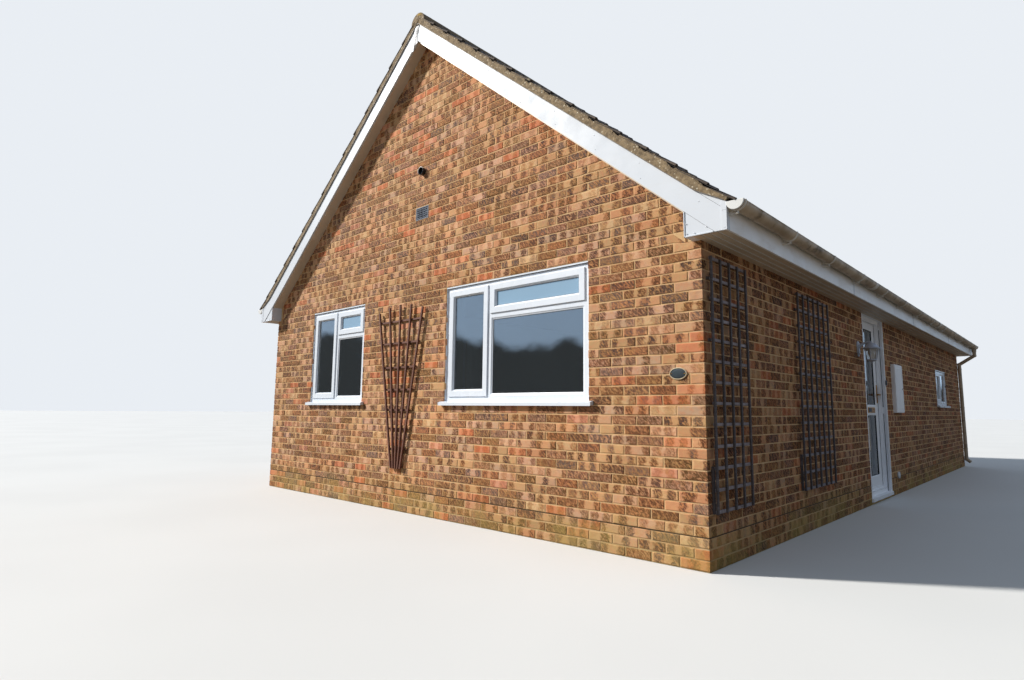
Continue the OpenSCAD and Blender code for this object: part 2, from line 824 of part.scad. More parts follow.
// Coach lantern on a bracket arm: back plate, arm, tapered glass body and hood
module wall_lantern() {
    out = lantern_out;
    color([0.35, 0.37, 0.40]) translate([half_w, lantern_y, lantern_z]) {
        block([0, -38, -89], [14, 38, 89]);
        block([13, -9, 50], [out, 9, 66]);
        translate([out, 0, 0]) {
            translate([0, 0, -191]) cylinder(h = 26.5, r = 10);
            translate([0, 0, -165]) cylinder(h = 12, r = 44, $fn = 6);
            translate([0, 0, -153]) cylinder(h = 138, r1 = 50, r2 = 80, $fn = 6);
            translate([0, 0, -15]) cylinder(h = 45, r1 = 104, r2 = 38, $fn = 6);
            translate([0, 0, 29]) cylinder(h = 25, r = 18);
            translate([0, 0, 50]) cylinder(h = 22, r = 10);
        }
    }
}

meter_y = door_y1 + meter_gap;
meter_rim = 28;

lid_t = 8;
lid_edge = 6;
lid_pin_r = 2.5;
lid_hinge_y = lid_edge + 3;

module meter_box() {
    rim_x = meter_out - lid_t - 1;
    color(upvc_white) translate([half_w, meter_y, meter_z]) {
        difference() {
            block([0, 0, 0], [rim_x, meter_w, meter_h]);
            block([8, meter_rim, meter_rim], [meter_out, meter_w - meter_rim, meter_h - meter_rim]);
        }
        for (z = [0, meter_h - lid_edge + 1]) difference() {
            block([rim_x - cut, 0, z], [meter_out, 16, z + lid_edge - 1]);
            translate([meter_out - lid_t / 2, lid_hinge_y, z - cut])
                cylinder(h = lid_edge + 2 * cut, r = lid_pin_r + pin_gap);
        }
    }
}

// Cover of the meter box, hung by two pins at its near edge
module meter_box_door() {
    color(upvc_white) translate([half_w, meter_y, meter_z]) {
        block([meter_out - lid_t, lid_edge, lid_edge], [meter_out, meter_w - lid_edge, meter_h - lid_edge]);
        translate([meter_out - lid_t / 2, lid_hinge_y, 0.5]) cylinder(h = meter_h - 1, r = lid_pin_r);
    }
}

module number_plate() {
    color([0.12, 0.12, 0.13]) translate([half_w - plate_at, -half_l, plate_z])
        rotate([90, 0, 0]) linear_extrude(10) scale([1, plate_h / plate_w]) circle(plate_w / 2, $fn = 48);
}

// Air brick built into the gable: a frame and a grid of bars
module gable_vent() {
    bar = 5;
    rim = 10;
    columns = 7;
    rows = 5;
    color([0.33, 0.36, 0.40]) translate([-vent_w / 2, -half_l - 6, vent_z - vent_h / 2]) {
        difference() {
            block([0, 0, 0], [vent_w, 40, vent_h]);
            block([rim, -1, rim], [vent_w - rim, 41, vent_h - rim]);
        }
        for (i = [1:columns]) translate([i * vent_w / (columns + 1) - bar / 2, 2, rim - 1])
            cube([bar, 20, vent_h - 2 * rim + 2]);
        for (i = [1:rows]) translate([rim - 1, 3, i * vent_h / (rows + 1) - bar / 2])
            cube([vent_w - 2 * rim + 2, 18, bar]);
    }
}

// Short pipe end or lamp above the vent, open to the front
module gable_lamp() {
    out = 48;
    wall = 5;
    color([0.15, 0.14, 0.13]) translate([0, -half_l, lamp_z]) rotate([90, 0, 0]) difference() {
        cylinder(h = out, r = lamp_r);
        translate([0, 0, 8]) cylinder(h = out, r = lamp_r - wall);
    }
}

// Fan trellis: uprights that spread from a narrow foot, with rails behind them
module fan_trellis() {
    rail_t = 14;
    rail_in = 10;
    upright_t = 18;
    count = 5;
    middle_up = 60;
    spacer_rails = [1, 5, 7];
    color(timber_brown) translate([half_w - fan_at, -half_l, fan_z]) {
        for (i = [0:count - 1]) {
            share = i / (count - 1) - 0.5;
            top = fan_h - middle_up * 4 * share * share;
            along_y(-rail_in - rail_t - upright_t, -rail_in - rail_t + 1) polygon([
                [share * fan_foot_w - fan_bar / 2, 0], [share * fan_foot_w + fan_bar / 2, 0],
                [share * fan_top_w + fan_bar / 2, top], [share * fan_top_w - fan_bar / 2, top]]);
        }
        for (z = fan_rails) {
            half = (fan_foot_w + z / fan_h * (fan_top_w - fan_foot_w)) / 2 + fan_bar;
            block([-half, -rail_in - rail_t, z], [half, -rail_in, z + fan_bar]);
        }
        for (i = spacer_rails)
            block([-fan_bar / 2, -rail_in - 1, fan_rails[i]], [fan_bar / 2, 0, fan_rails[i] + fan_bar - 2]);
    }
}

// Square trellis panel on the side wall, held off it by spacer blocks
module side_trellis(y0, across) {
    depth = 14;
    w = across * trellis_step + trellis_bar;
    h = trellis_rows * trellis_step + trellis_bar;
    color([0.30, 0.27, 0.27]) translate([half_w + trellis_off, -half_l + y0, trellis_z]) {
        for (i = [0:across])
            block([0, i * trellis_step, 0], [depth, i * trellis_step + trellis_bar, h]);
        for (i = [0:trellis_rows])
            block([depth - 1, 0, i * trellis_step], [2 * depth, w, i * trellis_step + trellis_bar]);
        for (y = [0, w - trellis_bar], i = [2, trellis_rows - 2])
            block([-trellis_off, y, i * trellis_step], [1, y + trellis_bar, i * trellis_step + trellis_bar]);
    }
}

module side_trellises() {
    side_trellis(trellis_first, 4);
    side_trellis(trellis_second, 6);
}

// Small cover on the wall below the meter box
module wall_cap() {
    color(upvc_white) translate([half_w, meter_y + cap_r, cap_z]) rotate([0, 90, 0])
        cylinder(h = 22, r = cap_r);
}

module bell_push() {
    color([0.1, 0.1, 0.1]) at_door() translate([4, door_w - 14, bell_z])
        block([0, -13, -32], [18, 13, 32]);
}

floor_slab();
front_wall();
back_wall();
left_wall();
right_wall_front();
right_wall_rear();
right_wall_head();
doorway_base();
roof_deck_left();
roof_deck_right();
roof_tiles_left();
roof_tiles_right();
ridge_tiles();
verge_mortar();
bargeboards_front();
bargeboards_back();
eaves_box_ends();
verge_soffits();
fascia_boards();
eaves_soffits();
gutters();
gutter_brackets();
downpipes();
front_window_large();
front_window_small();
side_window();
left_windows();
back_windows();
window_sills();
window_glass();
door_frame();
door_leaf();
door_glass();
door_handle();
letter_plate();
wall_lantern();
meter_box();
meter_box_door();
number_plate();
gable_vent();
gable_lamp();
fan_trellis();
side_trellises();
bell_push();
wall_cap();
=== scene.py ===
# Brick bungalow with a front gable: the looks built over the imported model, in the model's own frame.
# Lengths are millimetres, and build() turns them into metres; the paints and the studio are in metres.
import math

import bpy
import bmesh
import numpy as np
from mathutils import Matrix, Vector


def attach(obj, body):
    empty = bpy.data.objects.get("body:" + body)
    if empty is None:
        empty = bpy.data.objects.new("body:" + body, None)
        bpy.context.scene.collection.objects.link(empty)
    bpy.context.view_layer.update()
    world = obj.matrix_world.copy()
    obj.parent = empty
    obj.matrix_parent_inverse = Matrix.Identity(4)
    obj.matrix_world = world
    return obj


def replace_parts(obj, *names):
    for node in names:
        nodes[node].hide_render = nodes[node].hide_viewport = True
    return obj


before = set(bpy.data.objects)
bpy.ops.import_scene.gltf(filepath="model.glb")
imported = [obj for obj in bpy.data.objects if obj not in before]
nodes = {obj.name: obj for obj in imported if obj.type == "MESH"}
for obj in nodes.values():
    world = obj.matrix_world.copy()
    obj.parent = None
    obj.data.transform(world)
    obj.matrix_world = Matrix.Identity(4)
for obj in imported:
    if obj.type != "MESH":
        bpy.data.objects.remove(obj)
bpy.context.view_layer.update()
scene = bpy.context.scene
rng = np.random.default_rng(11)

# Walls, roof and openings, as the model has them
half_w = 3257.5
half_l = 5901.0
pitch = math.radians(40)
rafter_top_z = 2662.0
eaves_out = 260.0
verge_out = 140.0
foot_run = 223.0
soffit_z = 2310.0
fascia_h = 200.0
board_t = 18.0
barge_w = 160.0
box_in = 60.0
tile_top = 75.0
tile_fall = 22.0
tile_y = half_l + verge_out + 12
foot_x = half_w + eaves_out
foot_z = soffit_z + fascia_h
bend_x = foot_x - foot_run
bend_z = rafter_top_z + math.tan(pitch) * (half_w - bend_x)
apex_z = rafter_top_z + math.tan(pitch) * half_w
foot_pitch = math.atan2(bend_z - foot_z, foot_run)
foot_len = foot_run / math.cos(foot_pitch)
main_len = bend_x / math.cos(pitch)
tile_drop = 59.0
course_count = math.ceil((main_len + tile_drop) / 320)
gauge = (main_len + tile_drop) / course_count
ridge_z = apex_z + 5
ridge_r = 115.0
gutter_r = 56.0
gutter_x = foot_x + 4 + gutter_r
gutter_z = foot_z - 12
gutter_y = half_l + verge_out
eaves_x = foot_x + 57.5
eaves_z = foot_z - 20
eaves_pitch = math.radians(34.2)
outlet_y = half_l - 40
door_at = 4265.0
door_y0 = door_at - half_l
door_w = 1040.0
meter_y = door_y0 + door_w + 335
sill_z = 1125.0
sill_top = 1160.0
head_z = 2325.0
win_h = head_z - sill_top
large_w = 1810.0
small_w = 1210.0
side_w = 1070.0
side_h = 640.0
side_z = 1235.0
large_x = half_w - 1003 - large_w / 2
small_x = -half_w + 1003 + small_w / 2
side_win_y = half_l - 2150
left_win_y = (-half_l / 2, half_l / 2)
vent_low, vent_high, vent_half = 3150.0, 3290.0, 107.5


def slope_z(x, up):
    """Height of the line that runs parallel to the main slope, up square to it."""
    return apex_z - math.tan(pitch) * x + up / math.cos(pitch)


def on_slope(start, angle, s, up):
    """Points a distance s up a slope, and up square to it, as x and z."""
    s, up = np.asarray(s, float), np.asarray(up, float)
    x = start[0] - s * math.cos(angle) + up * math.sin(angle)
    return x, start[1] + s * math.sin(angle) + up * math.cos(angle)


def on_foot(s, up):
    return on_slope((foot_x, foot_z), foot_pitch, s, up)


def on_main(s, up):
    return on_slope((bend_x, bend_z), pitch, s, up)


def on_eaves(s, up):
    """The eaves course lies a little flatter than the main slope, its nose over the gutter."""
    return on_slope((eaves_x, eaves_z), eaves_pitch, s, up)


def quads(rows, columns, round_rows=False, round_columns=False):
    """Faces over a grid of points that runs row by row, and may close on itself either way."""
    faces = []
    for r in range(rows if round_rows else rows - 1):
        low, high = r * columns, (r + 1) % rows * columns
        for c in range(columns if round_columns else columns - 1):
            after = (c + 1) % columns
            faces.append((low + c, low + after, high + after, high + c))
    return faces


def end_caps(rows, columns):
    """Faces that close the first and the last row of such a grid."""
    return [tuple(range(columns))[::-1], tuple(range((rows - 1) * columns, rows * columns))]


def strip(edges, closed=True):
    """A long strip from arrays of points, one array for each edge, as points and faces."""
    m, n = len(edges), len(edges[0])
    faces = quads(m, n, round_rows=closed)
    if closed:
        faces.append(tuple(r * n for r in range(m)))
        faces.append(tuple(r * n + n - 1 for r in range(m))[::-1])
    return np.concatenate(edges), faces


def grown(rect, by):
    return rect[0] - by, rect[1] - by, rect[2] + by, rect[3] + by


class Shape:
    """Points in millimetres and faces, gathered for one piece."""

    def __init__(self):
        self.points = []
        self.faces = []
        self.count = 0

    def add(self, points, faces):
        points = np.asarray(points, float).reshape(-1, 3)
        self.faces += [tuple(int(i) + self.count for i in face) for face in faces]
        self.points.append(points)
        self.count += len(points)

    def join(self, other, turn=0.0, shift=(0, 0, 0), scale=(1, 1, 1)):
        """Adds another shape, scaled, turned about the vertical and moved."""
        a = math.radians(turn)
        c, s = math.cos(a), math.sin(a)
        spin = np.array([[c, s, 0], [-s, c, 0], [0, 0, 1]])
        self.add(np.concatenate(other.points) * scale @ spin + shift, other.faces)

    def box(self, low, high):
        (x0, y0, z0), (x1, y1, z1) = low, high
        points = [(x, y, z) for z in (z0, z1) for x, y in ((x0, y0), (x1, y0), (x1, y1), (x0, y1))]
        self.add(points, [(0, 3, 2, 1), (4, 5, 6, 7)] + quads(2, 4, round_columns=True))

    def prism(self, outline, low, high, axis="y"):
        """A flat outline drawn out along an axis; x and z for y, y and z for x, x and y for z."""
        place = {"x": lambda a, b, at: (at, a, b), "y": lambda a, b, at: (a, at, b),
                 "z": lambda a, b, at: (a, b, at)}[axis]
        n = len(outline)
        self.add([place(a, b, at) for at in (low, high) for a, b in outline],
                 end_caps(2, n) + quads(2, n, round_columns=True))

    def ring(self, outer, inner, y_outer, y_inner, y_back):
        """A mitred frame between two rectangles in x and z, its front falling from y_outer to y_inner."""
        points = []
        for (x0, z0, x1, z1), y in ((outer, y_outer), (inner, y_inner), (inner, y_back), (outer, y_back)):
            points += [(x0, y, z0), (x1, y, z0), (x1, y, z1), (x0, y, z1)]
        self.add(points, quads(4, 4, True, True))

    def lathe(self, profile, centre, axis="z", sides=24, turn=0.0):
        """A profile of radius and height turned round an axis through centre."""
        x, y, z = centre
        points = []
        for r, h in profile:
            for i in range(sides):
                a = 2 * math.pi * i / sides + turn
                u, v = r * math.cos(a), r * math.sin(a)
                points.append({"z": (x + u, y + v, z + h), "x": (x + h, y + u, z + v),
                               "y": (x + u, y - h, z + v)}[axis])
        rows = len(profile)
        self.add(points, quads(rows, sides, round_columns=True) + end_caps(rows, sides))

    def tube(self, path, radii, sides=12):
        """A round rod along a path, with a radius at each point."""
        path = [Vector(p) for p in path]
        points = []
        side = None
        for i, p in enumerate(path):
            ahead = (path[min(i + 1, len(path) - 1)] - path[max(i - 1, 0)]).normalized()
            if side is None:
                side = ahead.orthogonal().normalized()
            side = (side - ahead * side.dot(ahead)).normalized()
            other = ahead.cross(side)
            for k in range(sides):
                a = 2 * math.pi * k / sides
                points.append(tuple(p + (side * math.cos(a) + other * math.sin(a)) * radii[i]))
        self.add(points, quads(len(path), sides, round_columns=True) + end_caps(len(path), sides))


def shapes(count):
    return [Shape() for _ in range(count)]


def moved(shape, turn=0.0, shift=(0, 0, 0)):
    """A copy of a shape, turned about the vertical and moved."""
    whole = Shape()
    whole.join(shape, turn, shift)
    return whole


def build(name, points, faces, material, body="house", smooth=False, mend=False, values=None):
    """Makes one piece from points in millimetres, with its material, and rides it on a body."""
    mesh = bpy.data.meshes.new(name)
    points = np.asarray(points, float) * 0.001
    if isinstance(faces, np.ndarray):
        count, width = faces.shape
        mesh.vertices.add(len(points))
        mesh.vertices.foreach_set("co", points.ravel())
        mesh.loops.add(faces.size)
        mesh.loops.foreach_set("vertex_index", faces.ravel().astype(np.int32))
        mesh.polygons.add(count)
        mesh.polygons.foreach_set("loop_start", np.arange(0, faces.size, width, dtype=np.int32))
        mesh.polygons.foreach_set("loop_total", np.full(count, width, dtype=np.int32))
        mesh.update(calc_edges=True)
    else:
        mesh.from_pydata([tuple(p) for p in points], [], faces)
    if mend:
        work = bmesh.new()
        work.from_mesh(mesh)
        bmesh.ops.recalc_face_normals(work, faces=work.faces)
        work.to_mesh(mesh)
        work.free()
    for key, value in (values or {}).items():
        value = np.asarray(value, np.float32)
        kind, part = ("FLOAT_VECTOR", "vector") if value.ndim == 2 else ("FLOAT", "value")
        mesh.attributes.new(key, kind, "POINT").data.foreach_set(part, value.ravel())
    mesh.polygons.foreach_set("use_smooth", np.full(len(mesh.polygons), bool(smooth)))
    mesh.validate()
    piece = bpy.data.objects.new(name, mesh)
    scene.collection.objects.link(piece)
    mesh.materials.append(material)
    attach(piece, body)
    return piece


def soften(piece, width, steps=2, weld=False):
    """Rounds a piece's sharp edges by a width in millimetres."""
    if weld:
        piece.modifiers.new("join", "WELD").merge_threshold = 0.00005
    edge = piece.modifiers.new("edges", "BEVEL")
    edge.width = width * 0.001
    edge.segments = steps
    edge.limit_method = "ANGLE"
    edge.angle_limit = math.radians(35)
    edge.use_clamp_overlap = True
    edge.harden_normals = False


def make(name, shape, paint, body="house", bevel=0.0, smooth=False, steps=2):
    """Makes a piece from a gathered shape, with softened edges."""
    points = np.concatenate(shape.points)
    piece = build(name, points, shape.faces, paints[paint], body, smooth, mend=True)
    if bevel:
        soften(piece, bevel, steps)
    return piece


def linear(colour):
    """A colour of three numbers from 0 to 255, as light values."""
    shares = [c / 255 for c in colour]
    return (*(c / 12.92 if c <= 0.04045 else ((c + 0.055) / 1.055) ** 2.4 for c in shares), 1.0)


class Nodes:
    """A node tree, filled by small calls that each add a node and give one of its outputs."""

    def __init__(self, tree):
        self.tree = tree

    def put(self, socket, value):
        if isinstance(value, bpy.types.NodeSocket):
            self.tree.links.new(value, socket)
        else:
            socket.default_value = value

    def node(self, kind, out, inputs, **settings):
        node = self.tree.nodes.new(kind)
        for key, value in settings.items():
            setattr(node, key, value)
        for key, value in inputs.items():
            self.put(node.inputs[key], value)
        return node.outputs[out]

    def split(self, vector):
        return self.node("ShaderNodeSeparateXYZ", 0, {0: vector}).node.outputs

    def combine(self, x, y, z):
        return self.node("ShaderNodeCombineXYZ", 0, {0: x, 1: y, 2: z})

    def math(self, kind, a, b=0.0):
        return self.node("ShaderNodeMath", 0, {0: a, 1: b}, operation=kind)

    def times(self, a, b):
        return self.math("MULTIPLY", a, b)

    def plus(self, a, b):
        return self.math("ADD", a, b)

    def minus(self, a, b):
        return self.math("SUBTRACT", a, b)

    def absolute(self, a):
        return self.math("ABSOLUTE", a)

    def fit(self, value, low, high, to_low=0.0, to_high=1.0):
        """Spreads a value between low and high smoothly over another range."""
        span = {"Value": value, "From Min": low, "From Max": high, "To Min": to_low, "To Max": to_high}
        return self.node("ShaderNodeMapRange", "Result", span, interpolation_type="SMOOTHSTEP")

    def mix(self, share, a, b, kind="MIX"):
        a, b = (linear(c) if isinstance(c, tuple) else c for c in (a, b))
        return self.node("ShaderNodeMix", 2, {0: share, 6: a, 7: b}, data_type="RGBA", blend_type=kind)

    def scaled(self, colour, by):
        """A colour made lighter or darker by a value."""
        return self.mix(1.0, colour, self.combine(by, by, by), "MULTIPLY")


class Paint(Nodes):
    """A material whose colour, roughness and relief are worked out by nodes."""

    def __init__(self, name, roughness=0.6, metallic=0.0, **inputs):
        self.material = bpy.data.materials.new(name)
        self.material.use_nodes = True
        super().__init__(self.material.node_tree)
        self.shader = self.tree.nodes["Principled BSDF"]
        for key, value in dict(inputs, Roughness=roughness, Metallic=metallic).items():
            self.shader.inputs[key.replace("_", " ")].default_value = value
        self.place = self.node("ShaderNodeTexCoord", "Object", {})

    def noise(self, scale, detail=3.0, rough=0.55, place=None, warp=0.0):
        inputs = {"Vector": place or self.place, "Scale": scale, "Detail": detail, "Roughness": rough,
                  "Distortion": warp}
        return self.node("ShaderNodeTexNoise", "Fac", inputs)

    def cells(self, scale, place=None):
        inputs = {"Vector": place or self.place, "Scale": scale}
        return self.node("ShaderNodeTexVoronoi", "Distance", inputs)

    def stretch(self, scale, turn=(0, 0, 0), place=None):
        inputs = {"Vector": place or self.place, "Scale": scale, "Rotation": turn}
        return self.node("ShaderNodeMapping", "Vector", inputs)

    def value(self, name, part="Vector"):
        return self.node("ShaderNodeAttribute", part, {}, attribute_name=name)

    def colour(self, value):
        self.put(self.shader.inputs["Base Color"], value)

    def rough(self, value):
        self.put(self.shader.inputs["Roughness"], value)

    def relief(self, height, distance, strength=1.0):
        inputs = {"Strength": strength, "Distance": distance, "Height": height}
        self.put(self.shader.inputs["Normal"], self.node("ShaderNodeBump", "Normal", inputs))


def brick_paint():
    """Rough facing brick: a clean tan face with creased dark kiln marks in patches along it."""
    p = Paint("brick_face", 0.85, Specular_IOR_Level=0.2)
    at = p.split(p.value("brick_at"))
    zone = p.split(p.value("brick_band"))
    face = p.combine(at[0], at[1], at[2])
    run = p.absolute(p.minus(p.absolute(p.minus(at[0], zone[0])), zone[1]))
    rise = p.times(at[1], 0.45)
    far = p.math("SQRT", p.plus(p.times(run, run), p.times(rise, rise)))
    far = p.plus(far, p.times(p.minus(p.noise(30.0, 3.0, 0.65, face), 0.5), 0.085))
    inside = p.fit(p.minus(far, zone[2]), 0.012, -0.016)
    slanted = p.stretch((1, 1, 1), (0, 0, 0.8), face)
    crease = p.noise(1.0, 3.0, 0.6, p.stretch((26.0, 105.0, 1.0), place=slanted), 0.9)
    grain = p.noise(420.0, 2.0, 0.6)
    blotch = p.noise(36.0, 3.0, 0.55, face)
    mark = p.plus(p.fit(crease, 0.43, 0.58, 0.0, 0.90), p.fit(blotch, 0.42, 0.68, 0.08, 0.38))
    mark = p.plus(mark, p.times(p.fit(p.cells(50.0, face), 0.34, 0.16), 0.45))
    mark = p.times(p.times(mark, inside), p.value("brick_mark", "Fac"))
    pits = p.times(p.fit(p.cells(88.0, face), 0.30, 0.14), p.times(inside, 0.55))
    body = p.value("brick_pale")
    layers = [
        (p.fit(blotch, 0.42, 0.66, 0.0, 0.45), (204, 122, 78)),
        (p.fit(p.noise(17.0, 2.0, 0.5, face), 0.50, 0.70, 0.0, 0.40), (204, 156, 92)),
        (p.fit(p.noise(12.0, 3.0, 0.6, face), 0.56, 0.74, 0.0, 0.40), (160, 124, 112)),
        (p.fit(inside, 0.0, 1.0, 0.0, 0.22), (196, 124, 74)),
        (p.fit(inside, 0.0, 1.0, 0.20, 0.0), (226, 190, 154)),
        (p.math("MINIMUM", mark, 0.92), p.value("brick_dark")),
        (pits, (84, 58, 44)),
    ]
    for share, tone in layers:
        body = p.mix(share, body, tone)
    body = p.scaled(body, p.fit(grain, 0.30, 0.72, 0.84, 1.14))
    body = p.scaled(body, p.fit(p.noise(0.55, 2.0, 0.5), 0.3, 0.7, 0.93, 1.07))
    height = p.split(p.place)[2]
    damp = p.times(p.fit(height, 0.42, 0.05), p.fit(p.noise(3.0, 3.0, 0.6), 0.38, 0.66, 0.1, 0.55))
    p.colour(p.mix(damp, body, (172, 150, 84)))
    p.rough(p.fit(grain, 0.3, 0.7, 0.78, 0.93))
    depth = p.minus(p.times(grain, 0.25), p.times(mark, 0.7))
    p.relief(p.plus(depth, p.times(crease, 0.5)), 0.006, 0.8)
    return p.material


def wall_paint():
    """Sandy mortar on the outside of a wall, and plaster on its inside and deep reveals."""
    p = Paint("wall_mortar", 0.9, Specular_IOR_Level=0.2)
    x, y, z = p.split(p.place)
    deep = 0.105
    right_face = half_w * 0.001
    damp_course = 0.225
    past = [p.minus(p.absolute(a), half * 0.001 - deep) for a, half in ((x, half_w), (y, half_l))]
    outer = p.math("GREATER_THAN", p.math("MAXIMUM", *past), 0.0)
    sand = p.noise(520.0, 2.0, 0.7)
    mortar = p.mix(p.fit(p.noise(7.0, 4.0, 0.6), 0.3, 0.7), (205, 166, 119), (219, 183, 136))
    mortar = p.scaled(mortar, p.fit(sand, 0.28, 0.74, 0.80, 1.14))
    layers = [
        (p.fit(p.noise(2.2, 3.0, 0.55), 0.58, 0.74, 0.0, 0.35), (128, 104, 76)),
        # Paler mortar on the right side wall: painted light, keeping its joints showing against the painted
        # shade of its bricks
        (p.fit(x, right_face - 0.09, right_face - 0.06, 0.0, 0.22), (216, 190, 160)),
        (p.times(p.fit(p.absolute(p.minus(z, damp_course)), 0.0065, 0.003), 0.92), (44, 38, 32)),
        (p.times(p.fit(z, 0.26, 0.0), 0.55), (150, 136, 84)),
    ]
    for share, tone in layers:
        mortar = p.mix(share, mortar, tone)
    plaster = p.mix(p.fit(p.noise(1.7, 3.0, 0.6), 0.3, 0.7), (212, 207, 196), (224, 220, 210))
    p.colour(p.mix(outer, plaster, mortar))
    p.relief(p.times(sand, outer), 0.002, 0.8)
    return p.material


def plain_paint(name, colour, second, scale=3.0, roughness=0.4, dirt=None, dirt_share=0.3, grain=0.0,
                streak=(6.0, 6.0, 1.2), **inputs):
    """A moulded or painted surface: two close tones, run-down dirt and a fine grain."""
    p = Paint(name, roughness, **inputs)
    base = p.mix(p.fit(p.noise(scale, 3.0, 0.6), 0.3, 0.7), colour, second)
    if dirt:
        runs = p.noise(1.0, 4.0, 0.65, p.stretch(streak))
        base = p.mix(p.fit(runs, 0.50, 0.78, 0.0, dirt_share), base, dirt)
    p.colour(base)
    p.rough(p.fit(p.noise(scale * 4, 3.0, 0.6), 0.3, 0.7, max(roughness - 0.07, 0.02), roughness + 0.08))
    if grain:
        p.relief(p.noise(400.0, 2.0, 0.6), grain, 0.7)
    return p.material


def wood_paint(name, colour, second, worn):
    """Stained sawn wood: grain both ways, as the bars run both ways, and worn pale ridges."""
    p = Paint(name, 0.75)
    upright = p.noise(1.0, 4.0, 0.65, p.stretch((160.0, 160.0, 9.0)))
    level = p.noise(1.0, 4.0, 0.65, p.stretch((9.0, 9.0, 160.0)))
    grain = p.times(p.plus(upright, level), 0.5)
    base = p.mix(p.fit(grain, 0.36, 0.64), colour, second)
    p.colour(p.mix(p.fit(p.noise(11.0, 4.0, 0.7), 0.54, 0.76, 0.0, 0.55), base, worn))
    p.rough(p.fit(grain, 0.3, 0.7, 0.62, 0.86))
    p.relief(grain, 0.0012, 0.8)
    return p.material


def tile_paint():
    """Weathered concrete roof tile, each tile in its own tone, with lichen and dark runs."""
    p = Paint("roof_tile", 0.88)
    grit = p.noise(330.0, 3.0, 0.7)
    base = p.mix(p.value("tile_tone", "Fac"), (77, 67, 60), (99, 86, 75))
    base = p.mix(p.fit(p.noise(9.0, 4.0, 0.65), 0.42, 0.70, 0.0, 0.6), base, (58, 52, 48))
    lichen = p.times(p.fit(p.cells(17.0), 0.34, 0.16), p.fit(p.noise(2.4, 3.0, 0.6), 0.50, 0.64, 0.0, 0.8))
    base = p.mix(lichen, base, (150, 142, 112))
    p.colour(p.scaled(base, p.fit(grit, 0.3, 0.7, 0.80, 1.18)))
    p.relief(grit, 0.0022, 0.8)
    return p.material


def verge_paint():
    """Rough grey-brown verge mortar: pale stones, dark spots painted as the shade of its hollows, and
    lichen on the ridge's end.
    """
    p = Paint("verge_mortar", 0.93)
    patch = p.noise(26.0, 5.0, 0.68)
    base = p.mix(p.fit(patch, 0.30, 0.68), (112, 95, 72), (156, 135, 104))
    stones = p.times(p.fit(p.cells(36.0), 0.34, 0.14), p.fit(p.noise(15.0, 2.0, 0.5), 0.44, 0.54))
    base = p.mix(stones, base, (206, 194, 170))
    # Dark spots: painted shade of hollows in the mortar
    base = p.mix(p.fit(p.noise(60.0, 3.0, 0.6), 0.60, 0.76, 0.0, 0.5), base, (76, 62, 46))
    at = p.split(p.place)
    bloom = p.times(p.fit(at[2], (ridge_z + 58) * 0.001, (ridge_z + 84) * 0.001), p.fit(at[0], -0.01, 0.03))
    bloom = p.times(bloom, p.fit(p.noise(26.0, 3.0, 0.6), 0.38, 0.54))
    p.colour(p.mix(bloom, base, (206, 166, 44)))
    p.relief(p.plus(patch, p.times(p.noise(240.0, 3.0, 0.7), 0.4)), 0.006, 0.8)
    return p.material


def ridge_paint():
    """Ridge tile: grey-brown concrete with yellow lichen along the top."""
    p = Paint("ridge_tile", 0.88)
    base = p.mix(p.fit(p.noise(5.0, 4.0, 0.6), 0.3, 0.7), (98, 84, 68), (132, 115, 92))
    top = p.fit(p.split(p.place)[2], (ridge_z + 40) * 0.001, (ridge_z + 105) * 0.001)
    bloom = p.times(top, p.fit(p.noise(21.0, 4.0, 0.65), 0.52, 0.62, 0.0, 0.9))
    p.colour(p.mix(bloom, base, (190, 158, 48)))
    p.relief(p.noise(300.0, 3.0, 0.7), 0.003, 0.8)
    return p.material


def glass_paint(name, tint, clear=0.94, roughness=0.015, bend=2.2, coat=1.0):
    """Sealed glazing that mirrors the daylight and shows a dark inside."""
    p = Paint(name, roughness, IOR=bend, Transmission_Weight=clear, Coat_Weight=coat, Coat_Roughness=0.02,
              Coat_IOR=bend)
    p.colour(p.mix(p.fit(p.noise(0.8, 2.0, 0.5), 0.3, 0.7), tint, tuple(c + 10 for c in tint)))
    p.rough(p.fit(p.noise(6.0, 3.0, 0.6), 0.3, 0.75, roughness, roughness + 0.02))
    p.relief(p.noise(1.4, 1.0, 0.4), 0.004, 0.2)
    return p.material


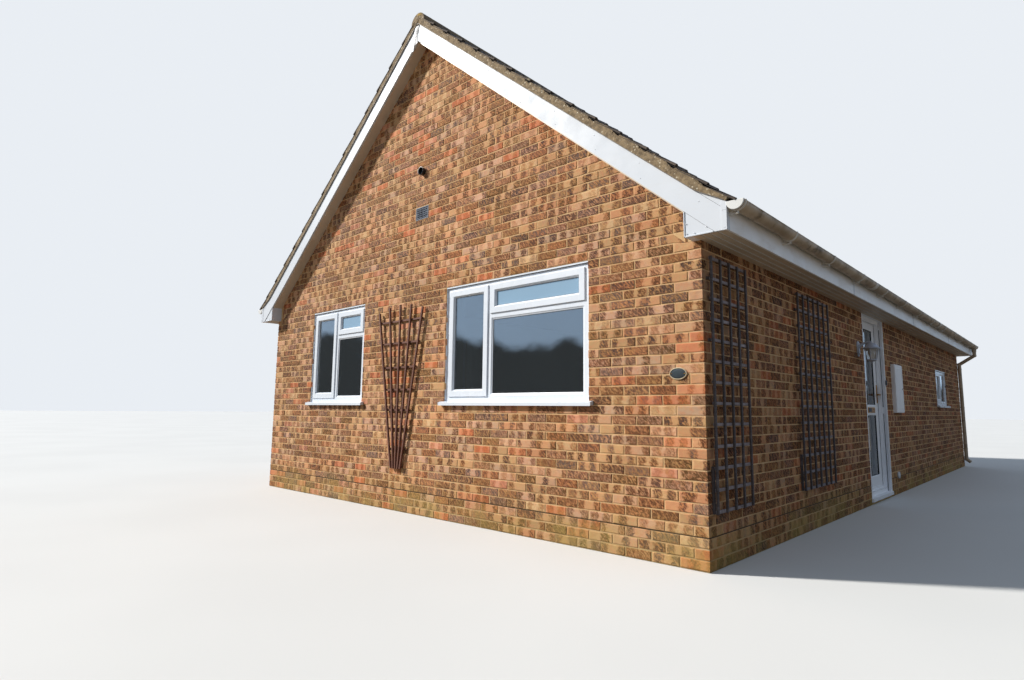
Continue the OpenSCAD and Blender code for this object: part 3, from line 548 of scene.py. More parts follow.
paints = {
    "brick": brick_paint(),
    "wall": wall_paint(),
    "concrete": plain_paint("floor_concrete", (150, 147, 140), (132, 129, 122), 1.5, 0.85, grain=0.001),
    "timber": wood_paint("roof_timber", (150, 116, 78), (178, 142, 98), (128, 100, 70)),
    "tile": tile_paint(),
    "verge": verge_paint(),
    "ridge": ridge_paint(),
    # Window white, tinted blue as a painted sky reflection
    "white": plain_paint("white_frame", (233, 239, 247), (226, 233, 242), 2.0, 0.28, (214, 212, 206), 0.05),
    # The same white for the sunlit boards, painted darker because the sun falls full on them, and tinted
    # blue as painted sky light
    "board": plain_paint("white_board", (216, 221, 228), (209, 215, 223), 1.6, 0.5, (196, 190, 178), 0.12,
                         streak=(3.0, 3.0, 14.0), Specular_IOR_Level=0.35),
    # The same white for the fascia, which stands in shade, painted brighter: painted light
    "fascia": plain_paint("white_fascia", (244, 243, 242), (236, 235, 234), 1.6, 0.4, (190, 170, 146), 0.35,
                          streak=(3.0, 3.0, 9.0)),
    "soffit": plain_paint("soffit_board", (212, 198, 178), (200, 184, 162), 1.2, 0.45, (156, 138, 114)),
    "gutter": plain_paint("gutter_plastic", (196, 178, 154), (160, 140, 114), 3.0, 0.5, (76, 58, 40), 0.95,
                          streak=(9.0, 5.0, 9.0)),
    "cap": plain_paint("gutter_cap", (230, 230, 228), (220, 220, 217), 6.0, 0.45, (190, 182, 168), 0.2),
    "bracket": plain_paint("gutter_bracket", (222, 218, 210), (206, 200, 190), 6.0, 0.45,
                           (140, 126, 108), 0.5),
    # The same white for the door in the shaded side wall, painted brighter: painted light
    "door_white": plain_paint("door_white", (250, 251, 254), (246, 248, 252), 2.0, 0.5),
    "seal": plain_paint("black_seal", (34, 34, 36), (46, 46, 48), 8.0, 0.55),
    "line": plain_paint("joint_line", (120, 122, 124), (88, 88, 90), 6.0, 0.6),
    "brass": plain_paint("brass_fitting", (186, 128, 36), (150, 98, 24), 14.0, 0.3, metallic=0.8),
    # Light grey paint with a blue tint: the tint is a painted sky sheen
    "metal": plain_paint("lantern_metal", (196, 202, 214), (174, 180, 194), 9.0, 0.42, (136, 130, 126), 0.4,
                         grain=0.0006),
    "black": plain_paint("black_moulding", (26, 27, 29), (38, 39, 42), 9.0, 0.35),
    "vent": plain_paint("vent_grey", (112, 122, 138), (84, 92, 108), 14.0, 0.7, (140, 132, 118), 0.4,
                        grain=0.0008),
    "vent_bed": plain_paint("vent_bedding", (216, 186, 142), (196, 164, 122), 30.0, 0.9, grain=0.002),
    "fan_wood": wood_paint("fan_trellis_wood", (118, 70, 48), (84, 46, 32), (166, 112, 82)),
    "dark_wood": wood_paint("side_trellis_wood", (88, 78, 76), (60, 52, 50), (132, 124, 126)),
    # The rails: the side trellis wood painted paler and lavender, as painted light on their lit faces
    "rail_wood": wood_paint("side_trellis_rail", (150, 140, 142), (112, 102, 104), (188, 182, 190)),
    "plate": plain_paint("plate_slate", (52, 62, 66), (40, 47, 52), 18.0, 0.35),
    "rim": plain_paint("plate_rim", (206, 190, 160), (186, 168, 138), 18.0, 0.4),
    # The meter box white, in the shaded side wall, painted brighter: painted light
    "box": plain_paint("meter_box_shell", (251, 250, 252), (243, 242, 245), 2.4, 0.5, (206, 194, 180), 0.2),
    "sill_end": plain_paint("sill_cap", (222, 225, 230), (206, 210, 216), 5.0, 0.4),
    "glass": glass_paint("window_glass", (146, 156, 160)),
    "door_glass": glass_paint("door_glass", (112, 122, 128), 0.94, 0.015, 1.5, 0.3),
    # A blue, nearly opaque glass for the sheet over the upper lights: a painted sky reflection
    "painted_sky_glass": glass_paint("painted_sky_reflection_glass", (140, 172, 196), 0.12, 0.04, 1.8, 0.5),
    "lamp_glass": glass_paint("lantern_glass", (226, 220, 208), 0.6, 0.12, 1.5, 0.5),
}


def place_camera():
    """The camera, fitted to the corners and courses in the photograph."""
    yaw, tilt, roll = -0.7436, 0.12392, 0.00941
    forward = Vector((math.sin(yaw) * math.cos(tilt), math.cos(yaw) * math.cos(tilt), math.sin(tilt)))
    right = Vector((math.cos(yaw), -math.sin(yaw), 0))
    up = right.cross(forward)
    across = right * math.cos(roll) + up * math.sin(roll)
    over = up * math.cos(roll) - right * math.sin(roll)
    turn = Matrix((across, over, -forward)).transposed().to_4x4()
    data = bpy.data.cameras.new("camera")
    data.sensor_width = 36
    data.lens = 607.93 * 36 / 1024
    data.shift_x = -0.011094
    data.shift_y = -0.005817
    data.clip_end = 400
    camera = bpy.data.objects.new("camera", data)
    camera.matrix_world = Matrix.Translation(Vector((5.20935, -9.90664, 1.08354))) @ turn
    scene.collection.objects.link(camera)
    scene.camera = camera


place_camera()

# Bricks, laid round the house as one run of courses, in which long bricks turn the corners
joint = 10.0
brick_long = 215.0
brick_short = 102.5
course_h = 75.0
proud = 4.0
rounded = 5.0
sides = {
    "front": ((-half_w, -half_l), (1, 0), (0, -1), 2 * half_w),
    "right": ((half_w, -half_l), (0, 1), (1, 0), 2 * half_l),
    "back": ((half_w, half_l), (-1, 0), (0, 1), 2 * half_w),
    "left": ((-half_w, half_l), (0, -1), (-1, 0), 2 * half_l),
}
# How light each wall's bricks are: the right side wall's bricks are darkened as painted shade
painted_wall_shade = {"front": 1.0, "right": 0.56, "back": 1.0, "left": 1.0}
# Whether the bricks at a wall's start and end are long ones in the even courses
long_on_even = {"front": (True, True), "right": (False, True), "back": (False, False),
                "left": (True, False)}
eaves_courses = 31
apex_courses = 73
corner_top = 2318


def opening(middle, width, low=sill_z, high=head_z):
    """An opening in a wall, measured along it from the wall's start."""
    return middle - width / 2, middle + width / 2, low, high


gable_open = [opening(large_x + half_w, large_w), opening(small_x + half_w, small_w)]
gaps_in = {
    "front": gable_open + [opening(half_w, 2 * vent_half, vent_low, vent_high)],
    "right": [opening(door_at + door_w / 2, door_w, -10),
              opening(side_win_y + half_l, side_w, side_z - 35, side_z + side_h)],
    "back": gable_open,
    "left": [opening(half_l - y, small_w) for y in left_win_y],
}
clean_tones = [(200, 154, 104), (194, 144, 92), (206, 146, 98), (188, 146, 96), (200, 152, 114),
               (180, 138, 90), (208, 156, 116), (200, 134, 88), (202, 156, 128), (186, 150, 120)]
light_tones = [(216, 178, 130), (214, 164, 126), (206, 166, 116), (220, 170, 132)]
fired_tones = [(216, 120, 74), (204, 110, 68), (218, 134, 90), (210, 140, 110)]
mark_tones = [(98, 60, 38), (82, 52, 40), (110, 68, 40), (90, 62, 52), (70, 54, 52), (98, 82, 76),
              (92, 64, 34)]


def pick(palette, count):
    return np.array([linear(c)[:3] for c in palette])[rng.integers(0, len(palette), count)]


def tones(count):
    """A clean tone, a mark tone, the place of the marks and their strength for each brick."""
    kind = rng.random(count)
    clean = pick(clean_tones, count)
    light = kind > 0.91
    fired = (kind > 0.84) & ~light
    clean[light] = pick(light_tones, count)[light]
    clean[fired] = pick(fired_tones, count)[fired]
    shift = rng.normal(0, 0.010, count)
    apart = rng.uniform(0.050, 0.070, count)
    reach = rng.uniform(0.030, 0.046, count)
    whole = kind < 0.32
    apart[whole] = 0
    reach[whole] = 0.130
    single = (kind >= 0.32) & (kind < 0.42)
    apart[single] = 0
    shift[single] = rng.uniform(-0.06, 0.06, single.sum())
    ends = (kind >= 0.42) & (kind < 0.56)
    apart[ends] = 0.090
    reach[ends] = rng.uniform(0.036, 0.056, ends.sum())
    strength = rng.uniform(0.62, 1.0, count)
    strength[light | fired] = rng.uniform(0.2, 0.65, (light | fired).sum())
    lift = rng.uniform(0.90, 1.10, (count, 1))
    return clean * lift, pick(mark_tones, count), np.stack([shift, apart, reach], 1), strength


def repeated(faces, count, each):
    """The faces of one solid, once for each of many that have the same number of points."""
    return (np.array(faces)[None] + (np.arange(count) * each)[:, None, None]).reshape(-1, 4)


def lay(columns, z0, z1, at, away, middle, painted_shade):
    """Bricks as rounded slabs with a skirt into the wall: columns along the course, z0 to z1 up it.

    For each column, at is its place on the wall and away the way out of the wall.
    """
    heights = np.stack([z0, z0 + rounded, z1 - rounded, z1], 1)
    count, n_col = columns.shape
    n_row = heights.shape[1]
    u = columns[:, None, :] + np.zeros((count, n_row, 1))
    v = heights[:, :, None] + np.zeros((count, 1, n_col))
    edge_back, skirt_depth = 2.2, 20.0
    inside = np.zeros((n_row, n_col), bool)
    inside[1:-1, 1:-1] = True
    out = proud + rng.normal(0, 0.7, (count, 1, 1)) + rng.normal(0, 0.5, (count, n_row, n_col))
    out = out + rng.normal(0, 0.8, (count, 1, 1)) * np.linspace(-1, 1, n_col)
    out = np.where(inside, out, out - edge_back)
    v = v + rng.normal(0, 0.7, v.shape) + rng.normal(0, 0.6, (count, 1, 1))
    askew = rng.normal(0, 0.8, u.shape)
    aside = away[..., ::-1] * (-1, 1)
    flat = at[:, None] + away[:, None] * out[..., None] + aside[:, None] * askew[..., None]
    front = np.concatenate([flat, v[..., None]], -1).reshape(count, -1, 3)
    order = [(0, c) for c in range(n_col)] + [(r, n_col - 1) for r in range(1, n_row)]
    order += [(n_row - 1, c) for c in range(n_col - 2, -1, -1)] + [(r, 0) for r in range(n_row - 2, 0, -1)]
    rows, cols = np.array(order).T
    rim = rows * n_col + cols
    skirt = front[:, rim]
    skirt[..., :2] += away[:, cols] * (-skirt_depth - out[:, rows, cols])[..., None]
    points = np.concatenate([front, skirt], 1)
    each = points.shape[1]
    base, around = n_row * n_col, len(order)
    faces = quads(n_row, n_col)
    for i in range(around):
        j = (i + 1) % around
        faces.append((rim[j], rim[i], base + i, base + j))
    local = np.stack([u - middle[:, None, None], v - heights.mean(1)[:, None, None]], -1) * 0.001
    local = local.reshape(count, -1, 2)
    local = np.concatenate([local, local[:, rim]], 1)
    seed = np.repeat(rng.random(count) * 40, each).reshape(count, each, 1)
    pale, dark, band, strength = tones(count)
    # Painted shade: each column's factor darkens the pale tone, and the dark marks more strongly
    darker = np.concatenate([np.tile(painted_shade, n_row), painted_shade[cols]])[None, :, None]
    values = {
        "brick_at": np.concatenate([local, seed], -1).reshape(-1, 3),
        "brick_dark": (dark[:, None] * darker ** 1.6).reshape(-1, 3),
        "brick_pale": (pale[:, None] * darker).reshape(-1, 3),
        "brick_band": np.repeat(band, each, 0),
        "brick_mark": np.repeat(strength, each),
    }
    return points.reshape(-1, 3), repeated(faces, count, each), values


def cut_out(u0, u1, z0, z1, gaps):
    """What is left of one brick beside the openings."""
    parts = [(u0, u1)]
    for g0, g1, h0, h1 in gaps:
        if z1 <= h0 + 2 or z0 >= h1 - 2:
            continue
        left = []
        for a, b in parts:
            if b <= g0 or a >= g1:
                left.append((a, b))
                continue
            if a < g0:
                left.append((a, g0 + 1.5))
            if b > g1:
                left.append((g1 - 1.5, b))
        parts = left
    return [(a, b) for a, b in parts if b - a > 24]


def course_rows(side, gable):
    """The bricks of one wall: those in the run, those the roof cuts, and those round its end corner."""
    length = sides[side][3]
    straight, crossing, corners = [], [], []
    for i in range(apex_courses if gable else eaves_courses):
        z0, z1 = course_h * i + joint / 2, course_h * (i + 1) - joint / 2
        even = i % 2 == 0
        first, last = (brick_long if turn == even else brick_short for turn in long_on_even[side])
        u = first + joint
        while u < length - last - joint - 1:
            for a, b in cut_out(u, u + brick_long, z0, z1, gaps_in[side]):
                out_a, out_b = a - half_w, b - half_w
                near = min(abs(out_a), abs(out_b)) if out_a * out_b > 0 else 0
                far = max(abs(out_a), abs(out_b))
                if gable and z0 > slope_z(near, -barge_w - 4):
                    continue
                cut = gable and z1 > slope_z(far, -barge_w - 6)
                (crossing if cut else straight).append((a, b, z0, z1))
            u += brick_long + joint
        if z0 < corner_top:
            corners.append((length, last, z0, z1))
        elif gable and z0 < slope_z(half_w - brick_long, -barge_w):
            crossing += [(2, first, z0, z1), (length - last, length - 2, z0, z1)]
    return straight, crossing, corners


def wall_line(side, runs):
    """Places along a wall's outer face, and the way out of the wall at each."""
    start, along, away, _ = sides[side]
    return start + np.array(along) * runs[..., None], away + np.zeros(runs.shape + (2,))


def wall_bricks(side):
    """The bricks of one wall, with the long corner bricks that turn its end corner."""
    gable = side in ("front", "back")
    length = sides[side][3]
    names = list(sides)
    after = names[(names.index(side) + 1) % 4]
    straight, crossing, corners = course_rows(side, gable)

    def put(rows, n_mid):
        u0, u1, z0, z1 = np.array(rows).T
        a, b = u0 + rounded, u1 - rounded
        inner = [a + (u1 - u0 - 2 * rounded) * s for s in np.linspace(0, 1, n_mid + 2)[1:-1]]
        columns = np.stack([u0, a] + inner + [b, u1], 1) + rng.normal(0, 0.9, (len(rows), 1))
        cut = np.abs(u1 - u0 - brick_long) >= 1
        middle = (u0 + u1) / 2 - np.where(cut, rng.choice([-60, 0, 60], len(rows)), 0)
        # Every column takes its wall's painted shade
        painted_shade = np.full(n_mid + 4, painted_wall_shade[side])
        return lay(columns, z0, z1, *wall_line(side, columns), middle, painted_shade)

    parts = [put(straight, 1)]
    if crossing:
        points, faces, values = put(crossing, 9)
        points[:, 2] = np.minimum(points[:, 2], slope_z(np.abs(points[:, 0]), -barge_w + 4))
        parts.append((points, faces, values))
    ends, leg, z0, z1 = np.array(corners).T
    other = brick_long + brick_short - leg
    over = np.full(len(leg), proud - 2.0)
    run_a = np.stack([ends - leg, ends - leg + rounded, ends - leg / 2, ends + over], 1)
    run_b = np.stack([-over, other / 2, other - rounded, other], 1)
    at_a, away_a = wall_line(side, run_a)
    at_b, away_b = wall_line(after, run_b)
    # Each leg of a corner brick takes its own wall's painted shade
    painted_shade = np.repeat([painted_wall_shade[side], painted_wall_shade[after]], 4)
    middle = ends - rng.choice([-50, 0, 50], len(leg))
    columns = np.concatenate([run_a, length + run_b], 1)
    at, away = np.concatenate([at_a, at_b], 1), np.concatenate([away_a, away_b], 1)
    parts.append(lay(columns, z0, z1, at, away, middle, painted_shade))
    starts = np.cumsum([0] + [len(part[0]) for part in parts])
    points = np.concatenate([part[0] for part in parts])
    faces = np.concatenate([part[1] + start for part, start in zip(parts, starts)])
    values = {key: np.concatenate([part[2][key] for part in parts]) for key in parts[0][2]}
    above = gable & (np.abs(points[:, 0]) <= half_w - 120)
    points[:, 2] = np.where(above, points[:, 2], np.minimum(points[:, 2], soffit_z + 3))
    build("bricks_" + side, points, faces, paints["brick"], values=values)


for wall_side in sides:
    wall_bricks(wall_side)

# Roof tiles: two rolls and two flat pans each, lapped in courses
tiles_across = 40
roll_foot = 36
pan_top = 66.0
tile_w = (2 * tile_y - roll_foot) / tiles_across
roll_at = np.array([-18, -9, 0, 9, 18, 26, 32, roll_foot])
roll_up = 27 * np.maximum(1 - (roll_at / 37.0) ** 2, 0) ** 0.75
rising_at = np.array([-roll_foot, -32, -26])
across = np.concatenate([18 + roll_at, 18 + tile_w / 2 + rising_at, 18 + tile_w / 2 + roll_at,
                         tile_w + 18 + rising_at, tile_w + 18 + np.array([-18, -4])])
rising_up = roll_up[[7, 6, 5]]
rise = np.concatenate([roll_up, rising_up, roll_up, rising_up, roll_up[:1], [roll_up[1] - 9]])


def pan_at(s):
    """Height of the flat pans above the main slope's line."""
    step = ((s + tile_drop) % gauge) / gauge
    return pan_top - tile_fall * step


def bed_at(s):
    """Top of the verge mortar: close under the tiles' edge, and lower just behind each nose."""
    behind = (s + tile_drop) % gauge
    return pan_at(s) + 20 - 34 * np.clip(1 - behind / 120, 0, 1) ** 0.7


def tile_slope(side, name, node):
    """The tiles of one roof side, course by course from the eaves, in place of the model's stepped slab."""
    points, tone = [], []
    for course in range(-1, course_count):
        lap = 70.0 if course < course_count - 1 else -14.0
        if course < 0:
            s0, s1, place, high, low = 0.0, 310.0, on_eaves, 0.0, 0.0
        else:
            s0 = course * gauge - tile_drop
            s1 = s0 + gauge + lap
            place, high, low = on_main, pan_top, pan_top - tile_fall * (gauge + lap) / gauge
        for k in range(tiles_across + 1):
            y0 = -tile_y + k * tile_w + rng.normal(0, 0.6)
            s = s0 + rng.normal(0, 2.5)
            lift = rng.normal(0, 1.1)
            ys, hs = y0 + across, rise
            if k == tiles_across:
                ys, hs = y0 + np.minimum(across, roll_foot), np.where(across > roll_foot, rise[4], rise)
            nose, rear = high + hs + lift, low + hs + lift
            for at, up in ((s, nose - 14), (s, nose - 3), (s + 4, nose), (s1, rear), (s1, rear - 13)):
                x, z = place(np.full_like(ys, at), up)
                points.append(np.stack([side * x, np.minimum(ys, tile_y), z], 1))
            tone.append(rng.random())
    n = len(across)
    faces = quads(5, n, round_rows=True) + [(c, n + c, 2 * n + c, 4 * n + c) for c in (0, n - 1)]
    faces = repeated(np.array(faces)[:, ::side], len(tone), 5 * n)
    piece = build(name, np.concatenate(points), faces, paints["tile"],
                  values={"tile_tone": np.repeat(tone, 5 * n)})
    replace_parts(piece, node)


tile_slope(1, "tiles_right", "roof_tiles_right")
tile_slope(-1, "tiles_left", "roof_tiles_left")


def ragged(n, size, step):
    """A smooth random line of n values, with a new value every few steps."""
    knots = rng.normal(0, size, n // step + 3)
    return np.interp(np.arange(n), np.arange(len(knots)) * step, knots)


def verge(end):
    """Mortar bedded between the boards and the tile edges of one gable, with the ridge's end filled."""
    shape, cloak = shapes(2)
    face_y = -half_l - verge_out - 10
    for side in (1, -1):
        s_foot = np.arange(1, foot_len - 4, 12.0)
        s_main = np.arange(0, main_len - 2, 12.0)
        foot_at, foot_low = on_foot(s_foot, 0)
        bedded = eaves_z + math.tan(eaves_pitch) * (eaves_x - foot_at) + 13
        back = (bend_x - foot_at) / math.cos(pitch)
        bedded = np.where(back > -tile_drop, slope_z(foot_at, bed_at(back)), bedded)
        lines = [(s_foot, on_foot, (bedded - foot_low) * math.cos(foot_pitch)),
                 (s_main, on_main, bed_at(s_main))]
        edges = []
        for share, depth, wave in ((0, 9, 0), (0, 1, 0.8), (0.3, 0, 1.6), (0.6, 0, 2), (0.85, 0, 1.6),
                                   (1, 2, 1.2), (1, 40, 0)):
            row = []
            for s_all, place, top in lines:
                n = len(s_all)
                up = -4 + (top + 4) * share + (ragged(n, 1.6, 2) if depth < 30 and share else 0)
                x, z = place(s_all, up)
                y = face_y + depth + (ragged(n, wave, 5) if wave else np.zeros(n))
                row.append(np.stack([side * x, y, z], 1))
            edges.append(np.concatenate(row))
        shape.add(*strip(edges))
        x0, z0 = on_foot(18.0, -2.5)
        x1, z1 = on_foot(18.0, 0.0)
        under = [(x0, z0), (bend_x, bend_z - 3.5), (0, apex_z - 3.5), (0, apex_z + 1),
                 (bend_x, bend_z + 1), (x1, z1)]
        cloak.prism([(side * float(x), float(z)) for x, z in under], face_y - 2, face_y + 9.5)
    angles = np.linspace(math.radians(-38), math.radians(218), 40)
    rings = []
    for r, deep in ((0, 6), (40, 4), (75, 5), (ridge_r - 9, 7)):
        y = face_y + deep - 6 + rng.normal(0, 1.6, 40)
        rings.append(np.stack([r * np.cos(angles), y, ridge_z + r * np.sin(angles)], 1))
    rings.append(rings[-1].copy())
    rings[-1][:, 1] = face_y + 30
    shape.add(*strip(rings, closed=False))
    infill = [(x, ridge_z - 30 + rng.normal(0, 2)) for x in np.linspace(-72, 72, 13)]
    infill += [(x, slope_z(abs(x), 0) - 2) for x in np.linspace(72, -72, 13)]
    shape.prism(infill, face_y, face_y + 30)
    turn, label = (180, "back") if end > 0 else (0, "front")
    piece = make("verge_mortar_" + label, moved(shape, turn), "verge")
    make("undercloak_" + label, moved(cloak, turn), "line")
    return piece


front_mortar = verge(-1)
verge(1)
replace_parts(front_mortar, "verge_mortar")


def ridge_beds():
    """Mortar squeezed out under both edges of the ridge tiles."""
    shape = Shape()
    ys = np.arange(-tile_y + 6, tile_y - 5, 22.0)
    n = len(ys)
    for side in (1, -1):
        base = []
        for off, up, wave in ((104, -14, 0), (117, -10, 3), (119, 8, 3), (100, 20, 2)):
            x = off + (ragged(n, wave, 2) if wave else np.zeros(n))
            z = slope_z(x, tile_top - 16) + up + (ragged(n, 2, 2) if wave else 0)
            base.append(np.stack([side * x, ys, z], 1))
        shape.add(*strip(base))
    make("ridge_beds", shape, "verge")


def ridge_run():
    """Half-round ridge tiles end to end, with a mortar joint between each two."""
    tiles, joints = shapes(2)
    count = round(2 * tile_y / 450)
    step = 2 * tile_y / count

    def arch(outer, inner, lift):
        turns = np.radians(np.linspace(-34, 214, 33))
        rim = [(outer * math.cos(a), ridge_z + lift + outer * math.sin(a)) for a in turns]
        return rim + [(inner * math.cos(a), ridge_z + lift + inner * math.sin(a)) for a in turns[::-1]]

    for i in range(count):
        low = -tile_y + i * step
        tiles.prism(arch(ridge_r, ridge_r - 15, rng.normal(0, 1.2)), low + 2.5, low + step - 2.5)
        if i:
            joints.prism(arch(ridge_r - 3, ridge_r - 14, 0), low - 3, low + 3)
    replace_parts(make("ridge_tile_run", tiles, "ridge", bevel=2.5), "ridge_tiles")
    make("ridge_joints", joints, "verge")


ridge_beds()
ridge_run()

# Materials of the model's own pieces, and the width of their softened edges
node_paints = {
    "concrete": "floor_slab",
    "wall": "front_wall back_wall left_wall right_wall_front right_wall_rear right_wall_head doorway_base",
    "timber": "roof_deck_left roof_deck_right",
    "tile": "roof_tiles_left roof_tiles_right",
    "ridge": "ridge_tiles",
    "verge": "verge_mortar",
    "board": "bargeboards_front bargeboards_back eaves_box_ends",
    "soffit": "verge_soffits eaves_soffits",
    "fascia": "fascia_boards",
    "gutter": "gutters downpipes",
    "bracket": "gutter_brackets",
    "white": "front_window_large front_window_small side_window left_windows back_windows"
             " window_sills wall_cap",
    "glass": "window_glass",
    "door_white": "door_frame door_leaf",
    "door_glass": "door_glass",
    "brass": "door_handle letter_plate",
    "metal": "wall_lantern",
    "box": "meter_box meter_box_door",
    "plate": "number_plate",
    "vent": "gable_vent",
    "black": "gable_lamp bell_push",
    "fan_wood": "fan_trellis",
    "dark_wood": "side_trellises",
}
softened = {
    4.0: "meter_box",
    3.5: "window_sills",
    3.0: "front_window_large front_window_small side_window left_windows back_windows door_leaf"
         " meter_box_door bell_push",
    2.5: "door_frame",
    2.0: "fascia_boards fan_trellis",
    1.5: "bargeboards_front bargeboards_back",
    1.2: "eaves_box_ends",
    0.8: "gutter_brackets",
}
for paint_name, node_names in node_paints.items():
    for node_name in node_names.split():
        node_mesh = nodes[node_name].data
        node_mesh.materials.clear()
        node_mesh.materials.append(paints[paint_name])
for soft_width, node_names in softened.items():
    for node_name in node_names.split():
        soften(nodes[node_name], soft_width, weld=True)


def window_trim(w, h, mull_x, transom):
    """Beads, seals and a painted shadow line under the head trim, sill caps, and a sheet with a painted sky
    reflection for one window, in its own frame with y into the wall.
    """
    white, black, caps, sky_reflection_film = shapes(4)
    half, bar, gap, sash = w / 2, 60, 2, 44
    x0, x1 = bar + gap - half, half - gap - bar
    top = h - gap - bar
    m0, m1 = mull_x - bar / 2, mull_x + bar / 2
    light = h - 315
    sashes = [(x0, bar, m0, top)]
    if transom:
        sashes.append((m1, light, x1, top))
    for rect in sashes:
        black.ring(grown(rect, 15.5), grown(rect, 12), 16.6, 16.6, 19)
    panes = [(grown(rect, -sash), 6) for rect in sashes]
    panes.append(((m1, bar, x1, light - bar if transom else top), 18))
    for rect, face in panes:
        white.ring(grown(rect, 0.5), grown(rect, -14), face + 3.5, 26.5, 31)
        black.ring(grown(rect, -13), grown(rect, -17.5), 27.2, 28.0, 31)
    white.box((1 - half, 2, h - 15), (half - 1, 19, h - 1.5))
    # A dark strip under the head trim: painted shadow of the trim
    black.box((3 - half, 12, h - 18), (half - 3, 18.6, h - 15.2))
    for side in (-1, 1):
        low = min(side * (half - 2.2), side * (half + 0.6))
        white.box((low, 8, 0), (low + 2.8, 19, h - 14))
        end = side * (half + 40)
        a, b = sorted((end - side * 0.5, end + side * 5))
        caps.prism([(-47, -37), (-47, -10), (-2, 3), (-2, -37)], a, b, axis="x")
    # A blue, nearly opaque sheet over the upper opening light's glass: a painted sky reflection
    if transom:
        sky_reflection_film.box((m1 + 46, 28.6, light + 46), (x1 - 46, 29.8, top - 46))
    return white, black, caps, sky_reflection_film


def window_set():
    """The trim of all seven windows; the plain walls repeat the front's."""
    large = window_trim(large_w, win_h, 622 - large_w / 2, True)
    small = window_trim(small_w, win_h, 582 - small_w / 2, True)
    high = window_trim(side_w, side_h, 0, False)
    places = [
        ("front_large", large, 0, (large_x, -half_l, sill_top)),
        ("front_small", small, 0, (small_x, -half_l, sill_top)),
        ("back_large", large, 180, (-large_x, half_l, sill_top)),
        ("back_small", small, 180, (-small_x, half_l, sill_top)),
        ("left_front", small, -90, (-half_w, left_win_y[0], sill_top)),
        ("left_rear", small, -90, (-half_w, left_win_y[1], sill_top)),
        ("side", high, 90, (half_w, side_win_y, side_z)),
    ]
    kinds = (("beads", "white", "white_plastic", 1.2), ("seals", "seal", "black_plastic", 0),
             ("sill_ends", "sill_end", "white_plastic", 2.0), ("sky_reflection_films", "painted_sky_glass", "glazing", 0))
    for label, trims, turn, shift in places:
        for shape, (kind, paint, slot, width) in zip(trims, kinds):
            if shape.count:
                make("window_" + kind + "_" + label, moved(shape, turn, shift), paint, bevel=width)


def board_details():
    """Eaves and verge boards: corner trims, joint lines, pins, butt joints, the apex cover strip and a
    painted shadow line beside it.
    """
    trims, lines, pins, gaps = shapes(4)
    front_trim, front_line, front_pin, front_shadow_line = shapes(4)
    y_face = -half_l - verge_out
    x_in = half_w - box_in
    barge_low = slope_z(x_in, -barge_w)
    low_end = half_w + (slope_z(half_w, -barge_w) - soffit_z) / math.tan(pitch)
    pin = [(4.5, 0), (4.2, 1.4), (2.6, 2.4), (0.6, 2.8)]
    eaves_pins = [(foot_x - 12, foot_z - 60), (foot_x - 28, foot_z - 60), (foot_x - 16, soffit_z + 16)]
    barge_pins = [(x_in + 22, soffit_z + 22), (x_in + 18, soffit_z + 95), (half_w + 20, soffit_z + 18),
                  (half_w + 110, soffit_z + 48), (half_w + 60, foot_z + 40)]
    for k in range(1, 8):
        x = half_w - k * 420
        barge_pins += [(x, slope_z(x, -38)), (x + 10, slope_z(x + 10, -128))]

    def side_box(shape, side, low, high):
        a, b = sorted((side * low[0], side * high[0]))
        shape.box((a, *low[1:]), (b, *high[1:]))

    for side in (1, -1):
        for near, deep in ((foot_x - 40, 0.5), (foot_x - 0.5, 42)):
            side_box(front_trim, side, (near, y_face - 2.5, soffit_z - 2),
                     (foot_x + 2.5, y_face + deep, foot_z + 1))
        for (xa, za), (xb, zb) in (((bend_x, bend_z - 0.5), (foot_x - 42, slope_z(foot_x - 42, 0))),
                                   ((x_in, barge_low), (low_end, soffit_z))):
            xa, xb = side * xa, side * xb
            run = [(xa, za - 1.4), (xb, zb - 1.4), (xb, zb + 1.4), (xa, za + 1.4)]
            front_line.prism(run, y_face - 0.6, y_face + 3)
        for far, high in ((x_in + 7, barge_low - 8), (low_end - 10, soffit_z + 7)):
            side_box(front_trim, side, (x_in, y_face - 1.5, soffit_z - 1.5), (far, y_face + 5, high))
        for spots, out in ((eaves_pins, 1.8), (barge_pins, -0.4)):
            for x, z in spots:
                front_pin.lathe(pin, (side * x, y_face - out, z), "y", 10)
    strip_low = apex_z - 314
    cover = [(-46, slope_z(46, -2)), (-4, slope_z(4, -2)), (-70, strip_low), (-94, strip_low + 8)]
    front_trim.prism(cover, y_face - 7, y_face + 1)
    # A dark prism beside the cover strip: painted shadow of the strip's edge
    shadow_line_low = slope_z(50, -barge_w) + 4
    gap = [(-5, slope_z(4, -3)), (24, slope_z(24, -3)), (-33, shadow_line_low), (-61, shadow_line_low)]
    front_shadow_line.prism(gap, y_face - 5.5, y_face + 1)
    for turn in (0, 180):
        gaps.join(front_shadow_line, turn)
        trims.join(front_trim, turn)
        lines.join(front_line, turn)
        pins.join(front_pin, turn)
    for side in (1, -1):
        for y in (-2950, 50, 3050):
            a, b = sorted((side * (foot_x - 0.5), side * (foot_x + 2.2)))
            trims.box((a, y - 17, soffit_z - 1), (b, y + 17, foot_z - 2))
            lines.box((a, y + 17, soffit_z), (b - 0.8 if side > 0 else b, y + 18.6, foot_z - 2))
    make("board_trims", trims, "board", bevel=0.9)
    make("board_joint_lines", lines, "line")
    make("apex_painted_shadow", gaps, "seal")
    make("board_pins", pins, "sill_end", smooth=True)


